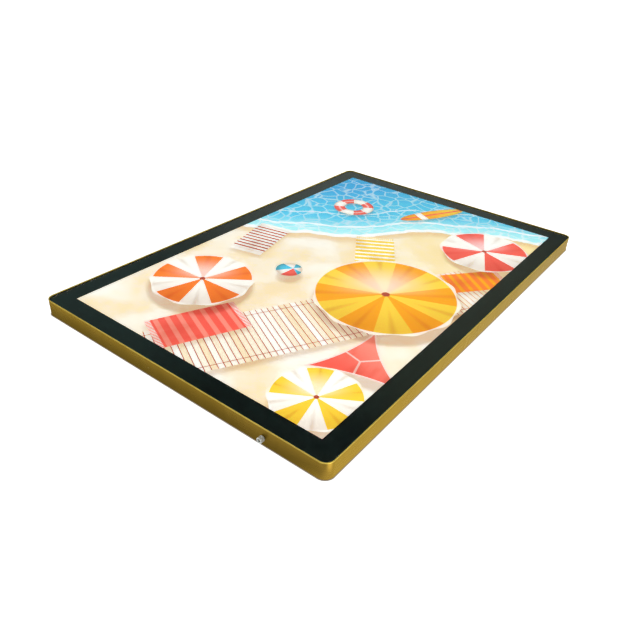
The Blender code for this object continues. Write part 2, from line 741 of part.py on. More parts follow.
def supply_leads(material, parent):
    """A lead from each side of the inlet's tail, along the bottom rail and up into an LED bar's end."""
    tag_y = WALL_THICK + TAIL_IN - LEAD_TAG - BOX_HEIGHT / 2
    lane_y = lane_inset - BOX_HEIGHT / 2
    riser_y = side_rail_first - LEAD_RISE - BOX_HEIGHT / 2
    bar_y = side_rail_first + BAR_END_GAP - SEAT_GAP - BOX_HEIGHT / 2
    bar_x = BOX_WIDTH / 2 - bar_inset - BAR_THICK / 2
    for name, sign in (("left", -1), ("right", 1)):
        start_x = inlet_across + sign * (NECK_BORE + SEAT_GAP)
        route = [
            Vector((start_x, tag_y, inlet_level)),
            Vector((start_x + sign * LEAD_DIP / 2, tag_y, inlet_level)),
            Vector((start_x + sign * LEAD_DIP, lane_y, lead_level)),
            Vector((start_x + sign * 2 * LEAD_DIP, lane_y, lead_level)),
            Vector((sign * (bar_x - 2 * LEAD_DIP), lane_y, lead_level)),
            Vector((sign * (bar_x - LEAD_DIP), lane_y, lead_level)),
            Vector((sign * bar_x, lane_y, lead_level)),
            Vector((sign * bar_x, riser_y, inlet_level)),
            Vector((sign * bar_x, (riser_y + bar_y) / 2, guide_middle)),
            Vector((sign * bar_x, bar_y, guide_middle)),
        ]
        points = smooth_route(route, LEAD_STEPS)
        curve = bpy.data.curves.new(f"supply_lead_{name}", "CURVE")
        curve.dimensions = "3D"
        curve.bevel_depth = LEAD_RADIUS
        curve.bevel_resolution = 2
        curve.use_fill_caps = True
        spline = curve.splines.new("POLY")
        spline.points.add(len(points) - 1)
        for knot, point in zip(spline.points, points):
            knot.co = (*point, 1)
        add_object(f"supply_lead_{name}", curve, material, parent)


def light_box():
    clear_scene()
    materials = {
        "gold": finish("gold_anodised", (0.55, 0.40, 0.14), 0.38, 0.9),
        "clear": finish("clear_acrylic", (0.90, 0.93, 0.92), 0.05, 0, 0.25),
        "ink": finish("border_ink", (0.012, 0.014, 0.014), 0.25),
        "zinc": finish("zinc_plate", (0.62, 0.63, 0.62), 0.4, 0.9),
        "magnet": finish("nickel_magnet", (0.55, 0.55, 0.54), 0.3, 1),
        "poster": finish("poster_film", (0.93, 0.62, 0.38), 0.5),
        "opal": finish("opal_diffuser", (0.92, 0.92, 0.90), 0.5),
        "guide": finish("guide_acrylic", (0.90, 0.95, 0.94), 0.08, 0, 0.6),
        "white": finish("reflector_white", (0.95, 0.95, 0.94), 0.6),
        "mill": finish("mill_aluminium", (0.72, 0.73, 0.74), 0.35, 0.9),
        "board": finish("led_board", (0.90, 0.90, 0.86), 0.45),
        "foam": finish("foam_grey", (0.20, 0.20, 0.21), 0.9),
        "back": finish("back_sheet", (0.66, 0.67, 0.68), 0.45, 0.7),
        "steel": finish("screw_steel", (0.58, 0.58, 0.57), 0.35, 1),
        "nickel": finish("nickel_plate", (0.70, 0.71, 0.70), 0.25, 1),
        "black": finish("black_plastic", (0.02, 0.02, 0.02), 0.5),
        "brass": finish("brass_contact", (0.75, 0.58, 0.25), 0.3, 1),
        "lead": finish("lead_sheath", (0.03, 0.03, 0.03), 0.5),
    }
    # The origin is under the middle of the whole box, barrel included
    body = carrier("box", (0, BARREL_OUT / 2, 0))
    lifting = carrier("cover_lift", (0, 0, 0), body)
    screw_bores = screw_bore_cutter(body)
    frame_extrusion(materials["gold"], body, screw_bores)
    cover(materials, lifting)
    magnets(materials["magnet"], body)
    sheets(materials, body)
    lighting(materials, body, screw_bores)
    cross_bars(materials["mill"], body)
    back(materials, body, screw_bores)
    inlet(materials, body)
    supply_leads(materials["lead"], body)


light_box()
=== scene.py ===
from functools import partial
from math import cos, pi, radians, sin

import bpy
from mathutils import Matrix, Vector


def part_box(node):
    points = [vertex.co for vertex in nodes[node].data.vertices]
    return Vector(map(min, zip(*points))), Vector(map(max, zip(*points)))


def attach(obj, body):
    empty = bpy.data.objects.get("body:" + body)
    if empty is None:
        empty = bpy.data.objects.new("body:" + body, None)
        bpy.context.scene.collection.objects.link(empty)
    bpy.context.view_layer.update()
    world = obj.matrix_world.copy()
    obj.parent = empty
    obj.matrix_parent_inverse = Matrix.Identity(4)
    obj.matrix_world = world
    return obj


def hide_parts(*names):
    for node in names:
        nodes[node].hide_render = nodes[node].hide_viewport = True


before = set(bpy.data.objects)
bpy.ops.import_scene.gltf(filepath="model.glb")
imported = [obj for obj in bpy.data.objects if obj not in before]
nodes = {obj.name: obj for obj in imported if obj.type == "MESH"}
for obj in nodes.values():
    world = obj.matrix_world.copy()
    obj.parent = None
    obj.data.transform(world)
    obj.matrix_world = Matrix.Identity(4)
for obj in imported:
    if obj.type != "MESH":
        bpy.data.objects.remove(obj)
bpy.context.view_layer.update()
frameLow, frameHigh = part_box("frame_extrusion")
boxMiddle = (frameLow + frameHigh) / 2
boxHalf = (frameHigh - frameLow) / 2
print("frame loaded:", len(nodes), "nodes")


# small tools for node trees; each finds its tree from a socket among its values
def plug(value, socket):
    # links another node's output, or sets a plain value
    if isinstance(value, bpy.types.NodeSocket):
        socket.id_data.links.new(value, socket)
    elif value is not None:
        socket.default_value = value


def addNode(kind, *values, **settings):
    tree = next(value.id_data for value in values if isinstance(value, bpy.types.NodeSocket))
    node = tree.nodes.new(kind)
    for key, value in settings.items():
        setattr(node, key, value)
    for value, socket in zip(values, node.inputs):
        plug(value, socket)
    return node


def calc(operation, *values):
    return addNode("ShaderNodeMath", *values, operation=operation).outputs[0]


times, plus, minus, over, absolute, larger, smaller = (
    partial(calc, operation) for operation in (
        "MULTIPLY", "ADD", "SUBTRACT", "DIVIDE", "ABSOLUTE", "MAXIMUM", "MINIMUM"))


def vectorCalc(operation, *values):
    node = addNode("ShaderNodeVectorMath", *values, operation=operation)
    return node.outputs["Value" if operation in ("LENGTH", "DOT_PRODUCT", "DISTANCE") else "Vector"]


def fade(value, low, high, atLow=0.0, atHigh=1.0):
    # a smooth step between two levels
    return addNode("ShaderNodeMapRange", value, low, high, atLow, atHigh,
                   interpolation_type="SMOOTHSTEP").outputs[0]


def mixColours(share, first, second, mode="MIX"):
    # the five sockets after the share are for numbers and vectors
    return addNode("ShaderNodeMix", share, *[None] * 5, first, second,
                   data_type="RGBA", blend_type=mode).outputs[2]


def splitPlace(place):
    return addNode("ShaderNodeSeparateXYZ", place).outputs


def joinPlace(x, y, z):
    return addNode("ShaderNodeCombineXYZ", x, y, z).outputs[0]


def objectPlace(shader):
    return shader.id_data.nodes.new("ShaderNodeTexCoord").outputs["Object"]


def stretched(place, scale):
    return vectorCalc("MULTIPLY", place, scale)


def cloud(place, scale, detail=3.0, rough=0.55):
    return addNode("ShaderNodeTexNoise", place, None, scale, detail, rough).outputs[0]


def screenColour(code):
    # a six-digit screen colour as linear light
    parts = [int(code[i:i + 2], 16) / 255 for i in (0, 2, 4)]
    return (*[part / 12.92 if part <= 0.04045 else ((part + 0.055) / 1.055) ** 2.4 for part in parts], 1)


def newFinish(name, **settings):
    # a node material; the settings are the shader's own values
    finish = bpy.data.materials.new(name)
    finish.use_nodes = True
    shader = finish.node_tree.nodes["Principled BSDF"]
    for socket, value in settings.items():
        shader.inputs[socket.replace("_", " ")].default_value = value
    return finish, shader


def setSurface(shader, colour, roughness=None):
    plug(colour, shader.inputs["Base Color"])
    plug(roughness, shader.inputs["Roughness"])


def setBumps(shader, height, distance, strength):
    bump = shader.id_data.nodes.new("ShaderNodeBump")
    plug(strength, bump.inputs["Strength"])
    plug(distance, bump.inputs["Distance"])
    plug(height, bump.inputs["Height"])
    plug(bump.outputs[0], shader.inputs["Normal"])


def cloudyFinish(name, look, **settings):
    # two colours mixed by a cloud that also sets the roughness, with fine bumps
    finish, shader = newFinish(name, **settings)
    place = objectPlace(shader)
    tone = cloud(place, *look["cloud"])
    colour = mixColours(fade(tone, *look["mix"]), *look["colours"])
    setSurface(shader, colour, fade(tone, 0.3, 0.7, *look["rough"]))
    scale, detail, depth, strength = look["bumps"]
    setBumps(shader, cloud(place, scale, detail), depth, strength)
    return finish


def distanceIn(place):
    # how far a point lies inside the box's rounded outline, so that a pattern can follow the bent frame
    corner = frameValues["cornerRadius"]
    offset = vectorCalc("ABSOLUTE", vectorCalc("SUBTRACT", place, tuple(boxMiddle)))
    x, y, z = splitPlace(offset)
    x = minus(x, boxHalf.x - corner)
    y = minus(y, boxHalf.y - corner)
    outside = vectorCalc("LENGTH", joinPlace(larger(x, 0.0), larger(y, 0.0), 0.0))
    inside = smaller(larger(x, y), 0.0)
    return minus(corner, plus(outside, inside))


# small tools for pieces
pieceValues = {
    "weld": 0.00001,  # points nearer than this are one point
    "turnedWeld": 0.000001,
    "sharpEdge": 40,  # degrees, for the edges that a bevel takes
}


def deselectAll():
    bpy.ops.object.select_all(action="DESELECT")


def startEdit(piece):
    deselectAll()
    bpy.context.view_layer.objects.active = piece
    piece.select_set(True)
    bpy.ops.object.mode_set(mode="EDIT")
    bpy.ops.mesh.select_all(action="SELECT")


def endEdit():
    bpy.ops.object.mode_set(mode="OBJECT")


def smoothPiece(piece, angle):
    # smooth over gentle bends only, with the large flat faces kept flat
    deselectAll()
    bpy.context.view_layer.objects.active = piece
    piece.select_set(True)
    bpy.ops.object.shade_smooth_by_angle(angle=radians(angle))
    modifier = piece.modifiers.new("flatFaces", "WEIGHTED_NORMAL")
    modifier.keep_sharp = True
    bpy.ops.object.modifier_apply(modifier=modifier.name)


def placePiece(piece, bodyName, slotName, finish, *replaced):
    piece.data.materials.clear()
    piece.data.materials.append(finish)
    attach(piece, bodyName)
    if replaced:
        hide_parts(*replaced)
    return piece


def mergedCopy(nodeName, pieceName, bodyName, slotName, finish, angle=50, bevel=0.0):
    # a copy of a node with its loose triangles joined, so that it can be shaded smooth
    piece = bpy.data.objects.new(pieceName, nodes[nodeName].data.copy())
    bpy.context.collection.objects.link(piece)
    startEdit(piece)
    bpy.ops.mesh.remove_doubles(threshold=pieceValues["weld"])
    if bevel:
        bpy.ops.mesh.select_all(action="DESELECT")
        bpy.ops.mesh.select_mode(type="EDGE")
        bpy.ops.mesh.edges_select_sharp(sharpness=radians(pieceValues["sharpEdge"]))
        bpy.ops.mesh.bevel(offset=bevel, segments=2, affect="EDGES", clamp_overlap=True)
    endEdit()
    smoothPiece(piece, angle)
    return placePiece(piece, bodyName, slotName, finish, nodeName)


def turnedPiece(name, rings, sides, hollow=False):
    # each ring is an extrusion of the last one, moved and scaled about the axis
    # a hollow piece ends where it starts
    deselectAll()
    radius, height = rings[0]
    bpy.ops.mesh.primitive_circle_add(vertices=sides, radius=radius, location=(0, 0, height),
                                      fill_type="NOTHING" if hollow else "NGON")
    piece = bpy.context.object
    piece.name = name
    bpy.ops.object.transform_apply(location=True)
    startEdit(piece)
    for nextRadius, nextHeight in rings[1:]:
        bpy.ops.mesh.extrude_region_move(TRANSFORM_OT_translate={"value": (0, 0, nextHeight - height)})
        share = nextRadius / radius
        bpy.ops.transform.resize(value=(share, share, 1), center_override=(0, 0, nextHeight))
        radius, height = nextRadius, nextHeight
    bpy.ops.mesh.select_all(action="SELECT")
    bpy.ops.mesh.remove_doubles(threshold=pieceValues["turnedWeld"])
    bpy.ops.mesh.normals_make_consistent(inside=False)
    endEdit()
    return piece


def cutWith(piece, cutter):
    modifier = piece.modifiers.new("cut", "BOOLEAN")
    modifier.object = cutter
    modifier.operation = "DIFFERENCE"
    modifier.solver = "EXACT"
    deselectAll()
    bpy.context.view_layer.objects.active = piece
    piece.select_set(True)
    bpy.ops.object.modifier_apply(modifier=modifier.name)
    bpy.data.objects.remove(cutter)


def copyAt(piece, name, place):
    copy = bpy.data.objects.new(name, piece.data.copy())
    bpy.context.collection.objects.link(copy)
    copy.data.transform(place)
    return copy


def paintNode(nodeName, finish):
    node = nodes[nodeName]
    if not node.data.materials:
        node.data.materials.append(finish)
    for slot in node.material_slots:
        slot.link = "OBJECT"
        slot.material = finish


# the camera looks at the box from the front right, a little turned
cameraValues = {
    "place": (0.599167, -0.900927, 0.593537),
    "right": (0.793987, 0.605902, 0.049672),
    "up": (-0.362327, 0.406021, 0.838967),
    "lens": 35.07,
    "sensor": 36.0,
    "clip": (0.01, 200),
}


def setCamera():
    right, up = Vector(cameraValues["right"]), Vector(cameraValues["up"])
    data = bpy.data.cameras.new("camera")
    data.lens = cameraValues["lens"]
    data.sensor_width = cameraValues["sensor"]
    data.clip_start, data.clip_end = cameraValues["clip"]
    camera = bpy.data.objects.new("camera", data)
    bpy.context.scene.collection.objects.link(camera)
    turn = Matrix((right, up, right.cross(up))).transposed().to_4x4()
    camera.matrix_world = Matrix.Translation(cameraValues["place"]) @ turn
    bpy.context.scene.camera = camera


setCamera()
print("camera set")


# frame: satin gold anodised, drawn lines along the bent bar
frameValues = {
    "cornerRadius": 0.015,
    "gold": (0.258, 0.156, 0.018, 1),
    "paleGold": (0.288, 0.178, 0.024, 1),
    "darkGold": (0.205, 0.115, 0.010, 1),
    # painted shade for the lower rim
    "rim": (0.070, 0.034, 0.006, 1),
    # painted highlight along the top of the wall and the lip's rounding
    "lip": (0.66, 0.49, 0.09, 1),
    # pale gold of the matt lip top, partly a painted highlight
    "lipTopHighlight": (0.95, 0.73, 0.14, 1),
    "lipMetallic": 0.2,
    "lipHeight": (0.0284, 0.0290),
    "lipFlat": (0.0002, 0.0005),  # where the flat top begins, from the outside
    "glancing": (1.0, 0.86, 0.50, 1),
    "rimShadeHeight": 0.0012,
    "alongScale": 9.0,
    "lineScale": 5200.0,
    "mottleScale": 30.0,
    "cloudScale": 14.0,
    "grainScale": 3800.0,
    "fleckScale": 26.0,
    "fleckRadius": (0.030, 0.014),  # in cells
    "fleckFrom": 0.72,
    "paleFleckFrom": 0.86,
    "darkFleck": (0.03, 0.02, 0.01, 1),
    "paleFleck": (0.75, 0.62, 0.30, 1),
    "roughness": (0.20, 0.30),
    "lineDepth": 0.00002,
}


def goldFinish():
    v = frameValues
    finish, shader = newFinish("goldAnodised", Specular_Tint=v["glancing"],
                               Coat_Weight=0.06, Coat_Roughness=0.25)
    place = objectPlace(shader)
    x, y, z = splitPlace(place)
    inset = distanceIn(place)
    level = plus(z, inset)
    alongBar = joinPlace(times(x, v["alongScale"]), times(y, v["alongScale"]), times(level, v["lineScale"]))
    lines = cloud(alongBar, 1.0, 4.0, 0.65)
    wideLines = cloud(stretched(alongBar, (1.0, 1.0, 0.12)), 1.0, 2.0)
    upright = joinPlace(x, y, times(level, 0.15))
    mottle = cloud(upright, v["mottleScale"], 4.0, 0.6)
    cloudy = cloud(place, v["cloudScale"], 3.0)
    tone = plus(times(mottle, 0.55), times(cloudy, 0.45))
    colour = mixColours(fade(tone, 0.36, 0.64), v["gold"], v["paleGold"])
    colour = mixColours(fade(lines, 0.62, 0.80, 0.0, 0.35), colour, v["darkGold"])
    colour = mixColours(fade(wideLines, 0.58, 0.75, 0.0, 0.22), colour, v["darkGold"])
    # rare dark and pale flecks in the anodising
    cells = addNode("ShaderNodeTexVoronoi", place, None, v["fleckScale"])
    chance = addNode("ShaderNodeTexWhiteNoise", cells.outputs["Position"], noise_dimensions="3D").outputs[0]
    dark = calc("GREATER_THAN", chance, v["fleckFrom"])
    pale = calc("GREATER_THAN", chance, v["paleFleckFrom"])
    fleck = times(fade(cells.outputs["Distance"], *v["fleckRadius"]), dark)
    speck = mixColours(pale, v["darkFleck"], v["paleFleck"])
    colour = mixColours(times(fleck, 0.75), colour, speck)
    # painted shade along the lower rim, and a painted highlight along the top of the wall and the lip's
    # rounding
    colour = mixColours(fade(z, v["rimShadeHeight"], 0.0, 0.0, 0.85), colour, v["rim"])
    lip = fade(z, *v["lipHeight"])
    # painted highlight, broken up by the mottle
    lipHighlight = times(lip, fade(mottle, 0.42, 0.60, 0.75, 1.0))
    colour = mixColours(lipHighlight, colour, v["lip"])
    # the flat top of the lip is worn matt, and painted pale gold as a painted highlight
    top = times(lip, fade(inset, *v["lipFlat"]))
    colour = mixColours(top, colour, v["lipTopHighlight"])
    plug(fade(top, 0.0, 1.0, 1.0, v["lipMetallic"]), shader.inputs["Metallic"])
    rough = plus(fade(cloudy, 0.3, 0.7, *v["roughness"]), times(minus(lines, 0.5), 0.16))
    rough = plus(rough, times(lip, 0.12))
    setSurface(shader, colour, rough)
    grain = cloud(place, v["grainScale"], 2.0)
    height = plus(times(lines, 0.6), times(grain, 0.4))
    setBumps(shader, height, v["lineDepth"], 0.6)
    return finish


def dressFrame():
    mergedCopy("frame_extrusion", "frameBody", "housing", "gold_anodised", goldFinish())


dressFrame()
print("frame dressed")


# cover: clear acrylic over a dark printed border
coverValues = {
    "tint": (0.965, 0.985, 0.975, 1),
    "paleTint": (0.985, 0.995, 0.99, 1),
    "refraction": 1.49,
    "waveDepth": 0.0003,
    "ink": (0.016, 0.046, 0.040, 1),
    "inkPale": (0.021, 0.057, 0.050, 1),
    "inkDot": (0.02, 0.026, 0.025, 1),
    # painted shade along the window's edge and along the frame
    "edgeShadeInk": (0.0006, 0.0009, 0.0012, 1),
    "borderWide": 0.0345,
    "edgeWide": (0.00182, 0.00112),  # from where the painted shade begins to where it is full, beside the window
    "outerEdge": (0.0038, 0.0030),  # the same beside the frame, from the frame's outside
    "inkDepth": 0.00001,
}


def acrylicFinish():
    finish, shader = newFinish("clearAcrylic", IOR=coverValues["refraction"], Transmission_Weight=1.0)
    place = objectPlace(shader)
    wiped = cloud(stretched(place, (1.0, 2.2, 1.0)), 7.0, 5.0, 0.6)
    plug(fade(wiped, 0.45, 0.8, 0.0, 0.035), shader.inputs["Roughness"])
    haze = fade(cloud(place, 3.0), 0.3, 0.7)
    setSurface(shader, mixColours(haze, coverValues["tint"], coverValues["paleTint"]))
    setBumps(shader, cloud(place, 5.0, 1.0), coverValues["waveDepth"], 0.15)
    return finish


def inkFinish():
    v = coverValues
    finish, shader = newFinish("borderInk", Specular_IOR_Level=0.1)
    place = objectPlace(shader)
    layer = cloud(place, 9.0, 4.0)
    colour = mixColours(fade(layer, 0.35, 0.7), v["ink"], v["inkPale"])
    mesh = cloud(place, 2600.0, 1.0)
    colour = mixColours(fade(mesh, 0.68, 0.78, 0.0, 0.5), colour, v["inkDot"])
    # painted shade darkens the print along the window and along the frame
    fromWall = distanceIn(place)
    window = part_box("border_print")[0].x - frameLow.x + v["borderWide"]
    edgeShade = fade(fromWall, *(window - edge for edge in v["edgeWide"]))
    edgeShade = larger(edgeShade, fade(fromWall, *v["outerEdge"]))
    colour = mixColours(edgeShade, colour, v["edgeShadeInk"])
    setSurface(shader, colour, fade(layer, 0.3, 0.7, 0.30, 0.42))
    setBumps(shader, mesh, v["inkDepth"], 0.4)
    return finish


def dressCover():
    mergedCopy("cover_panel", "coverSheet", "cover", "clear_acrylic", acrylicFinish())
    mergedCopy("border_print", "printedBorder", "cover", "border_ink", inkFinish(), 40)


dressCover()
print("cover dressed")


# poster: a beach from above, printed on film and lit from behind
posterValues = {
    "glow": 1.07,
    "sand": screenColour("f6e0b8"),
    "paleSand": screenColour("fdf8ee"),
    "wetSand": screenColour("e8c490"),
    "warmth": screenColour("ffe9a0"),
    "foam": screenColour("ffffff"),
    "shallow": screenColour("b4f2f6"),
    "sea": screenColour("4cc6e8"),
    "deepSea": screenColour("229fd8"),
    "coral": screenColour("f75f50"),
    "paleCoral": screenColour("fb907e"),
    "orange": screenColour("fb8026"),
    "amber": screenColour("fba800"),
    "yellow": screenColour("fcd43c"),
    "white": screenColour("fffdf6"),
    "line": screenColour("b0452c"),
    "shade": screenColour("b98a62"),
    "unlit": (0.55, 0.55, 0.55, 1),
    "shadeShift": (0.009, -0.011),  # from a thing to its shade on the ground, for each step of height
    "shadeSoft": (0.006, -0.008),
    "edge": 0.0007,
    "shore": {
        "centre": (0, 0.165), "turn": 38,
        "waves": ((13.0, 0.020), (31.0, 0.006)), "ripple": 0.034,
        "warmPlace": (0.30, 0.44, 0), "warmReach": (0.60, 0.05),
        "windPitch": 0.011, "wet": (-0.034, -0.010), "waterline": 0.0012,
        "shallowEnd": (0.005, 0.11), "deepStart": (0.12, 0.30), "netScale": 34.0,
        # place, half width and strength of each line
        "foam": ((0.006, 0.0075, 1.0), (0.050, 0.0042, 0.85), (0.118, 0.0032, 0.6)),
    },
    "boards": {"centre": (0.055, -0.250), "turn": 62, "half": (0.40, 0.068), "pitch": 0.0105,
               "railInset": 0.012, "railHalf": (0.0012, 0.0007)},
    "parasols": [
        {"centre": (0.125, -0.040), "radius": 0.136, "ribs": 12, "turn": 8, "colours": ("amber", "yellow")},
        {"centre": (-0.160, -0.220), "radius": 0.096, "ribs": 10, "turn": 20, "colours": ("orange", "white")},
        {"centre": (0.185, 0.250), "radius": 0.092, "ribs": 8, "turn": 3, "colours": ("coral", "white")},
        {"centre": (0.205, -0.350), "radius": 0.072, "ribs": 10, "turn": 14, "colours": ("yellow", "white")},
    ],
    "sunFrom": 50,
    "towels": [
        {"centre": (-0.055, -0.330), "turn": -24, "half": (0.042, 0.078), "pitch": 0.020,
         "colours": ("coral", "paleCoral")},
        {"centre": (0.020, 0.085), "turn": 33, "half": (0.040, 0.075), "pitch": 0.016,
         "colours": ("yellow", "white")},
        {"centre": (-0.195, -0.020), "turn": 12, "half": (0.036, 0.068), "pitch": 0.012,
         "colours": ("white", "line")},
        {"centre": (0.225, 0.115), "turn": -38, "half": (0.034, 0.064), "pitch": 0.018,
         "colours": ("orange", "amber")},
    ],
    "fringe": {"long": (0.010, 0.009), "pitch": 0.0042},
    "ring": {"centre": (-0.150, 0.255), "turn": 11, "radius": 0.034, "tube": 0.0125, "bands": 8},
    "ball": {"centre": (-0.065, -0.085), "turn": 25, "radius": 0.026, "panels": 6, "pole": (0.007, 0.006, 0)},
    "surfboard": {"centre": (0.010, 0.345), "turn": -28, "half": (0.020, 0.085),
                  "stringer": (0.0030, 0.0022)},
    "sail": {"centre": (0.205, -0.240), "turn": 17, "inner": 0.035, "bend": 0.30, "reach": 0.12,
             "seam": (0.0012, 0.0004), "hem": (-0.0034, -0.0026)},
    "filmDepth": 0.00001,
}


def shadedCentre(motif, steps):
    return tuple(part + steps * shift for part, shift in zip(motif["centre"], posterValues["shadeShift"]))


def localPlace(place, motif, steps=0):
    # coordinates about a motif's own centre, turned with it; its shade lies some steps away
    node = addNode("ShaderNodeMapping", place, vector_type="TEXTURE")
    node.inputs["Location"].default_value = (*shadedCentre(motif, steps), 0)
    node.inputs["Rotation"].default_value = (0, 0, radians(motif["turn"]))
    return node.outputs[0]


def farFrom(place, motif, steps=0):
    return vectorCalc("DISTANCE", place, (*shadedCentre(motif, steps), 0))


def outsideBox(place, half):
    x, y, z = splitPlace(vectorCalc("ABSOLUTE", place))
    return larger(minus(x, half[0]), minus(y, half[1]))


def outsideOval(place, half):
    share = vectorCalc("LENGTH", stretched(place, (1 / half[0], 1 / half[1], 0)))
    return times(minus(share, 1.0), half[0])


def layOn(picture, distance, colour):
    # a colour on the picture wherever the distance to its outline is below nought
    edge = posterValues["edge"]
    return mixColours(fade(distance, edge, -edge), picture, colour)


def darken(share, colour):
    return mixColours(share, colour, posterValues["shade"], "MULTIPLY")


def castShade(picture, distance, strength):
    return darken(fade(distance, *posterValues["shadeSoft"], 0.0, strength), picture)


def stripes(value, pitch, share, soft=0.06):
    # 1 on the stripe and 0 between; the stripe takes that share of the pitch
    part = calc("PINGPONG", over(value, pitch), 0.5)
    return fade(part, share / 2 + soft / 2, share / 2 - soft / 2)


def sectors(x, y, count):
    # the angle about the middle, as a number of equal sectors
    return over(calc("ARCTAN2", y, x), 2 * pi / count)


def paintShore(place):
    v, shore = posterValues, posterValues["shore"]
    local = localPlace(place, shore)
    along, out, z = splitPlace(local)
    ripple = cloud(stretched(local, (14, 4, 1)), 1.0, 3.0)
    wave = 0.0
    for rate, rise in shore["waves"]:
        wave = plus(wave, times(calc("SINE", times(along, rate)), rise))
    wave = plus(wave, times(ripple, shore["ripple"]))
    reach = minus(out, wave)
    # sand with wind ripples, warmer towards the far corner
    sandTone = cloud(place, 9.0, 4.0)
    picture = mixColours(fade(sandTone, 0.35, 0.65), v["sand"], v["paleSand"])
    corner = vectorCalc("DISTANCE", place, shore["warmPlace"])
    picture = mixColours(fade(corner, *shore["warmReach"], 0.0, 0.85), picture, v["warmth"])
    bent = plus(out, times(sandTone, 0.05))
    windLines = times(stripes(bent, shore["windPitch"], 0.30, 0.25), fade(ripple, 0.45, 0.7, 0.0, 0.20))
    picture = mixColours(windLines, picture, v["wetSand"])
    picture = mixColours(fade(reach, *shore["wet"], 0.0, 0.75), picture, v["wetSand"])
    # water, deeper away from the shore, with a net of light and three lines of foam
    water = mixColours(fade(reach, *shore["shallowEnd"]), v["shallow"], v["sea"])
    water = mixColours(fade(reach, *shore["deepStart"], 0.0, 0.85), water, v["deepSea"])
    drift = addNode("ShaderNodeTexNoise", place, None, 16.0, 2.0).outputs[1]
    wobble = vectorCalc("ADD", place, stretched(drift, (0.03, 0.03, 0)))
    net = addNode("ShaderNodeTexVoronoi", wobble, None, shore["netScale"],
                  feature="DISTANCE_TO_EDGE").outputs[0]
    water = mixColours(fade(net, 0.09, 0.0, 0.0, 0.42), water, v["foam"])
    broken = fade(cloud(local, 34.0, 4.0), 0.30, 0.52, 0.25, 1.0)
    for level, half, strength in shore["foam"]:
        offset = minus(absolute(minus(reach, level)), times(broken, half))
        mask = times(fade(offset, 0.0016, -0.0016), strength)
        water = mixColours(mask, water, v["foam"])
    return mixColours(fade(reach, -shore["waterline"], shore["waterline"]), picture, water)


def paintBoards(picture, place):
    # a boardwalk of pale planks with thin red-brown gaps
    v, boards = posterValues, posterValues["boards"]
    half, pitch = boards["half"], boards["pitch"]
    picture = castShade(picture, outsideBox(localPlace(place, boards, 1), half), 0.42)
    local = localPlace(place, boards)
    x, y, z = splitPlace(local)
    plank = calc("FLOOR", over(x, pitch))
    tone = addNode("ShaderNodeTexWhiteNoise", None, plank, noise_dimensions="1D").outputs[0]
    wood = mixColours(tone, v["white"], v["sand"])
    grain = cloud(stretched(local, (900, 16, 1)), 1.0, 2.0)
    wood = mixColours(fade(grain, 0.55, 0.75, 0.0, 0.25), wood, v["wetSand"])
    rails = absolute(minus(absolute(y), half[1] - boards["railInset"]))
    gap = larger(stripes(x, pitch, 0.15), fade(rails, *boards["railHalf"], 0.0, 0.8))
    wood = mixColours(gap, wood, v["line"])
    return layOn(picture, outsideBox(local, half), wood)


def paintTowel(picture, place, towel):
    v, half = posterValues, towel["half"]
    picture = castShade(picture, outsideBox(localPlace(place, towel, 1), half), 0.34)
    local = localPlace(place, towel)
    x, y, z = splitPlace(local)
    first, second = (v[name] for name in towel["colours"])
    cloth = mixColours(stripes(y, towel["pitch"], 0.42), first, second)
    ends = fade(absolute(y), *(half[1] - long for long in v["fringe"]["long"]))
    threads = stripes(x, v["fringe"]["pitch"], 0.5, 0.2)
    cloth = mixColours(ends, cloth, mixColours(threads, v["white"], first))
    folds = cloud(stretched(local, (22, 9, 1)), 1.0, 2.0)
    cloth = darken(fade(folds, 0.45, 0.7, 0.0, 0.35), cloth)
    return layOn(picture, outsideBox(local, half), cloth)


def paintParasol(picture, place, parasol):
    v = posterValues
    radius, ribs = parasol["radius"], parasol["ribs"]
    picture = castShade(picture, minus(farFrom(place, parasol, 2), radius), 0.55)
    local = localPlace(place, parasol)
    x, y, z = splitPlace(local)
    reach = vectorCalc("LENGTH", local)
    angle = calc("ARCTAN2", y, x)
    gore = over(angle, 2 * pi / ribs)
    first, second = (v[name] for name in parasol["colours"])
    colour = mixColours(stripes(gore, 2.0, 0.5, 0.012), first, second)
    # each gore is brightest along its middle, and the side away from the sun is darker
    middle = calc("PINGPONG", gore, 0.5)
    crease = times(fade(middle, 0.16, 0.0), fade(reach, 0.1 * radius, radius, 0.05, 0.34))
    colour = darken(crease, colour)
    side = calc("COSINE", plus(angle, radians(v["sunFrom"] + parasol["turn"])))
    slope = times(fade(side, -0.2, 1.0), fade(reach, 0.15 * radius, radius, 0.0, 0.36))
    colour = darken(slope, colour)
    lit = times(fade(side, 0.2, -1.0), fade(reach, 0.9 * radius, 0.2 * radius, 0.0, 0.55))
    colour = mixColours(lit, colour, v["foam"])
    # pale trim, dark cap and scalloped hem
    colour = mixColours(fade(reach, radius * 0.935, radius * 0.95, 0.0, 0.8), colour, v["white"])
    colour = mixColours(fade(reach, radius * 0.065, radius * 0.05), colour, v["line"])
    scallop = times(fade(middle, 0.5, 0.0), radius * 0.045)
    return layOn(picture, minus(plus(reach, scallop), radius), colour)


def outsideSail(place):
    # a triangle with hollow edges: each edge is part of a large circle beside it
    sail = posterValues["sail"]
    away = sail["bend"] + sail["inner"]
    outside = minus(vectorCalc("LENGTH", place), sail["reach"])
    for turn in (30, 150, 270):
        centre = (away * cos(radians(turn)), away * sin(radians(turn)), 0)
        edge = minus(sail["bend"], vectorCalc("DISTANCE", place, centre))
        outside = larger(outside, edge)
    return outside


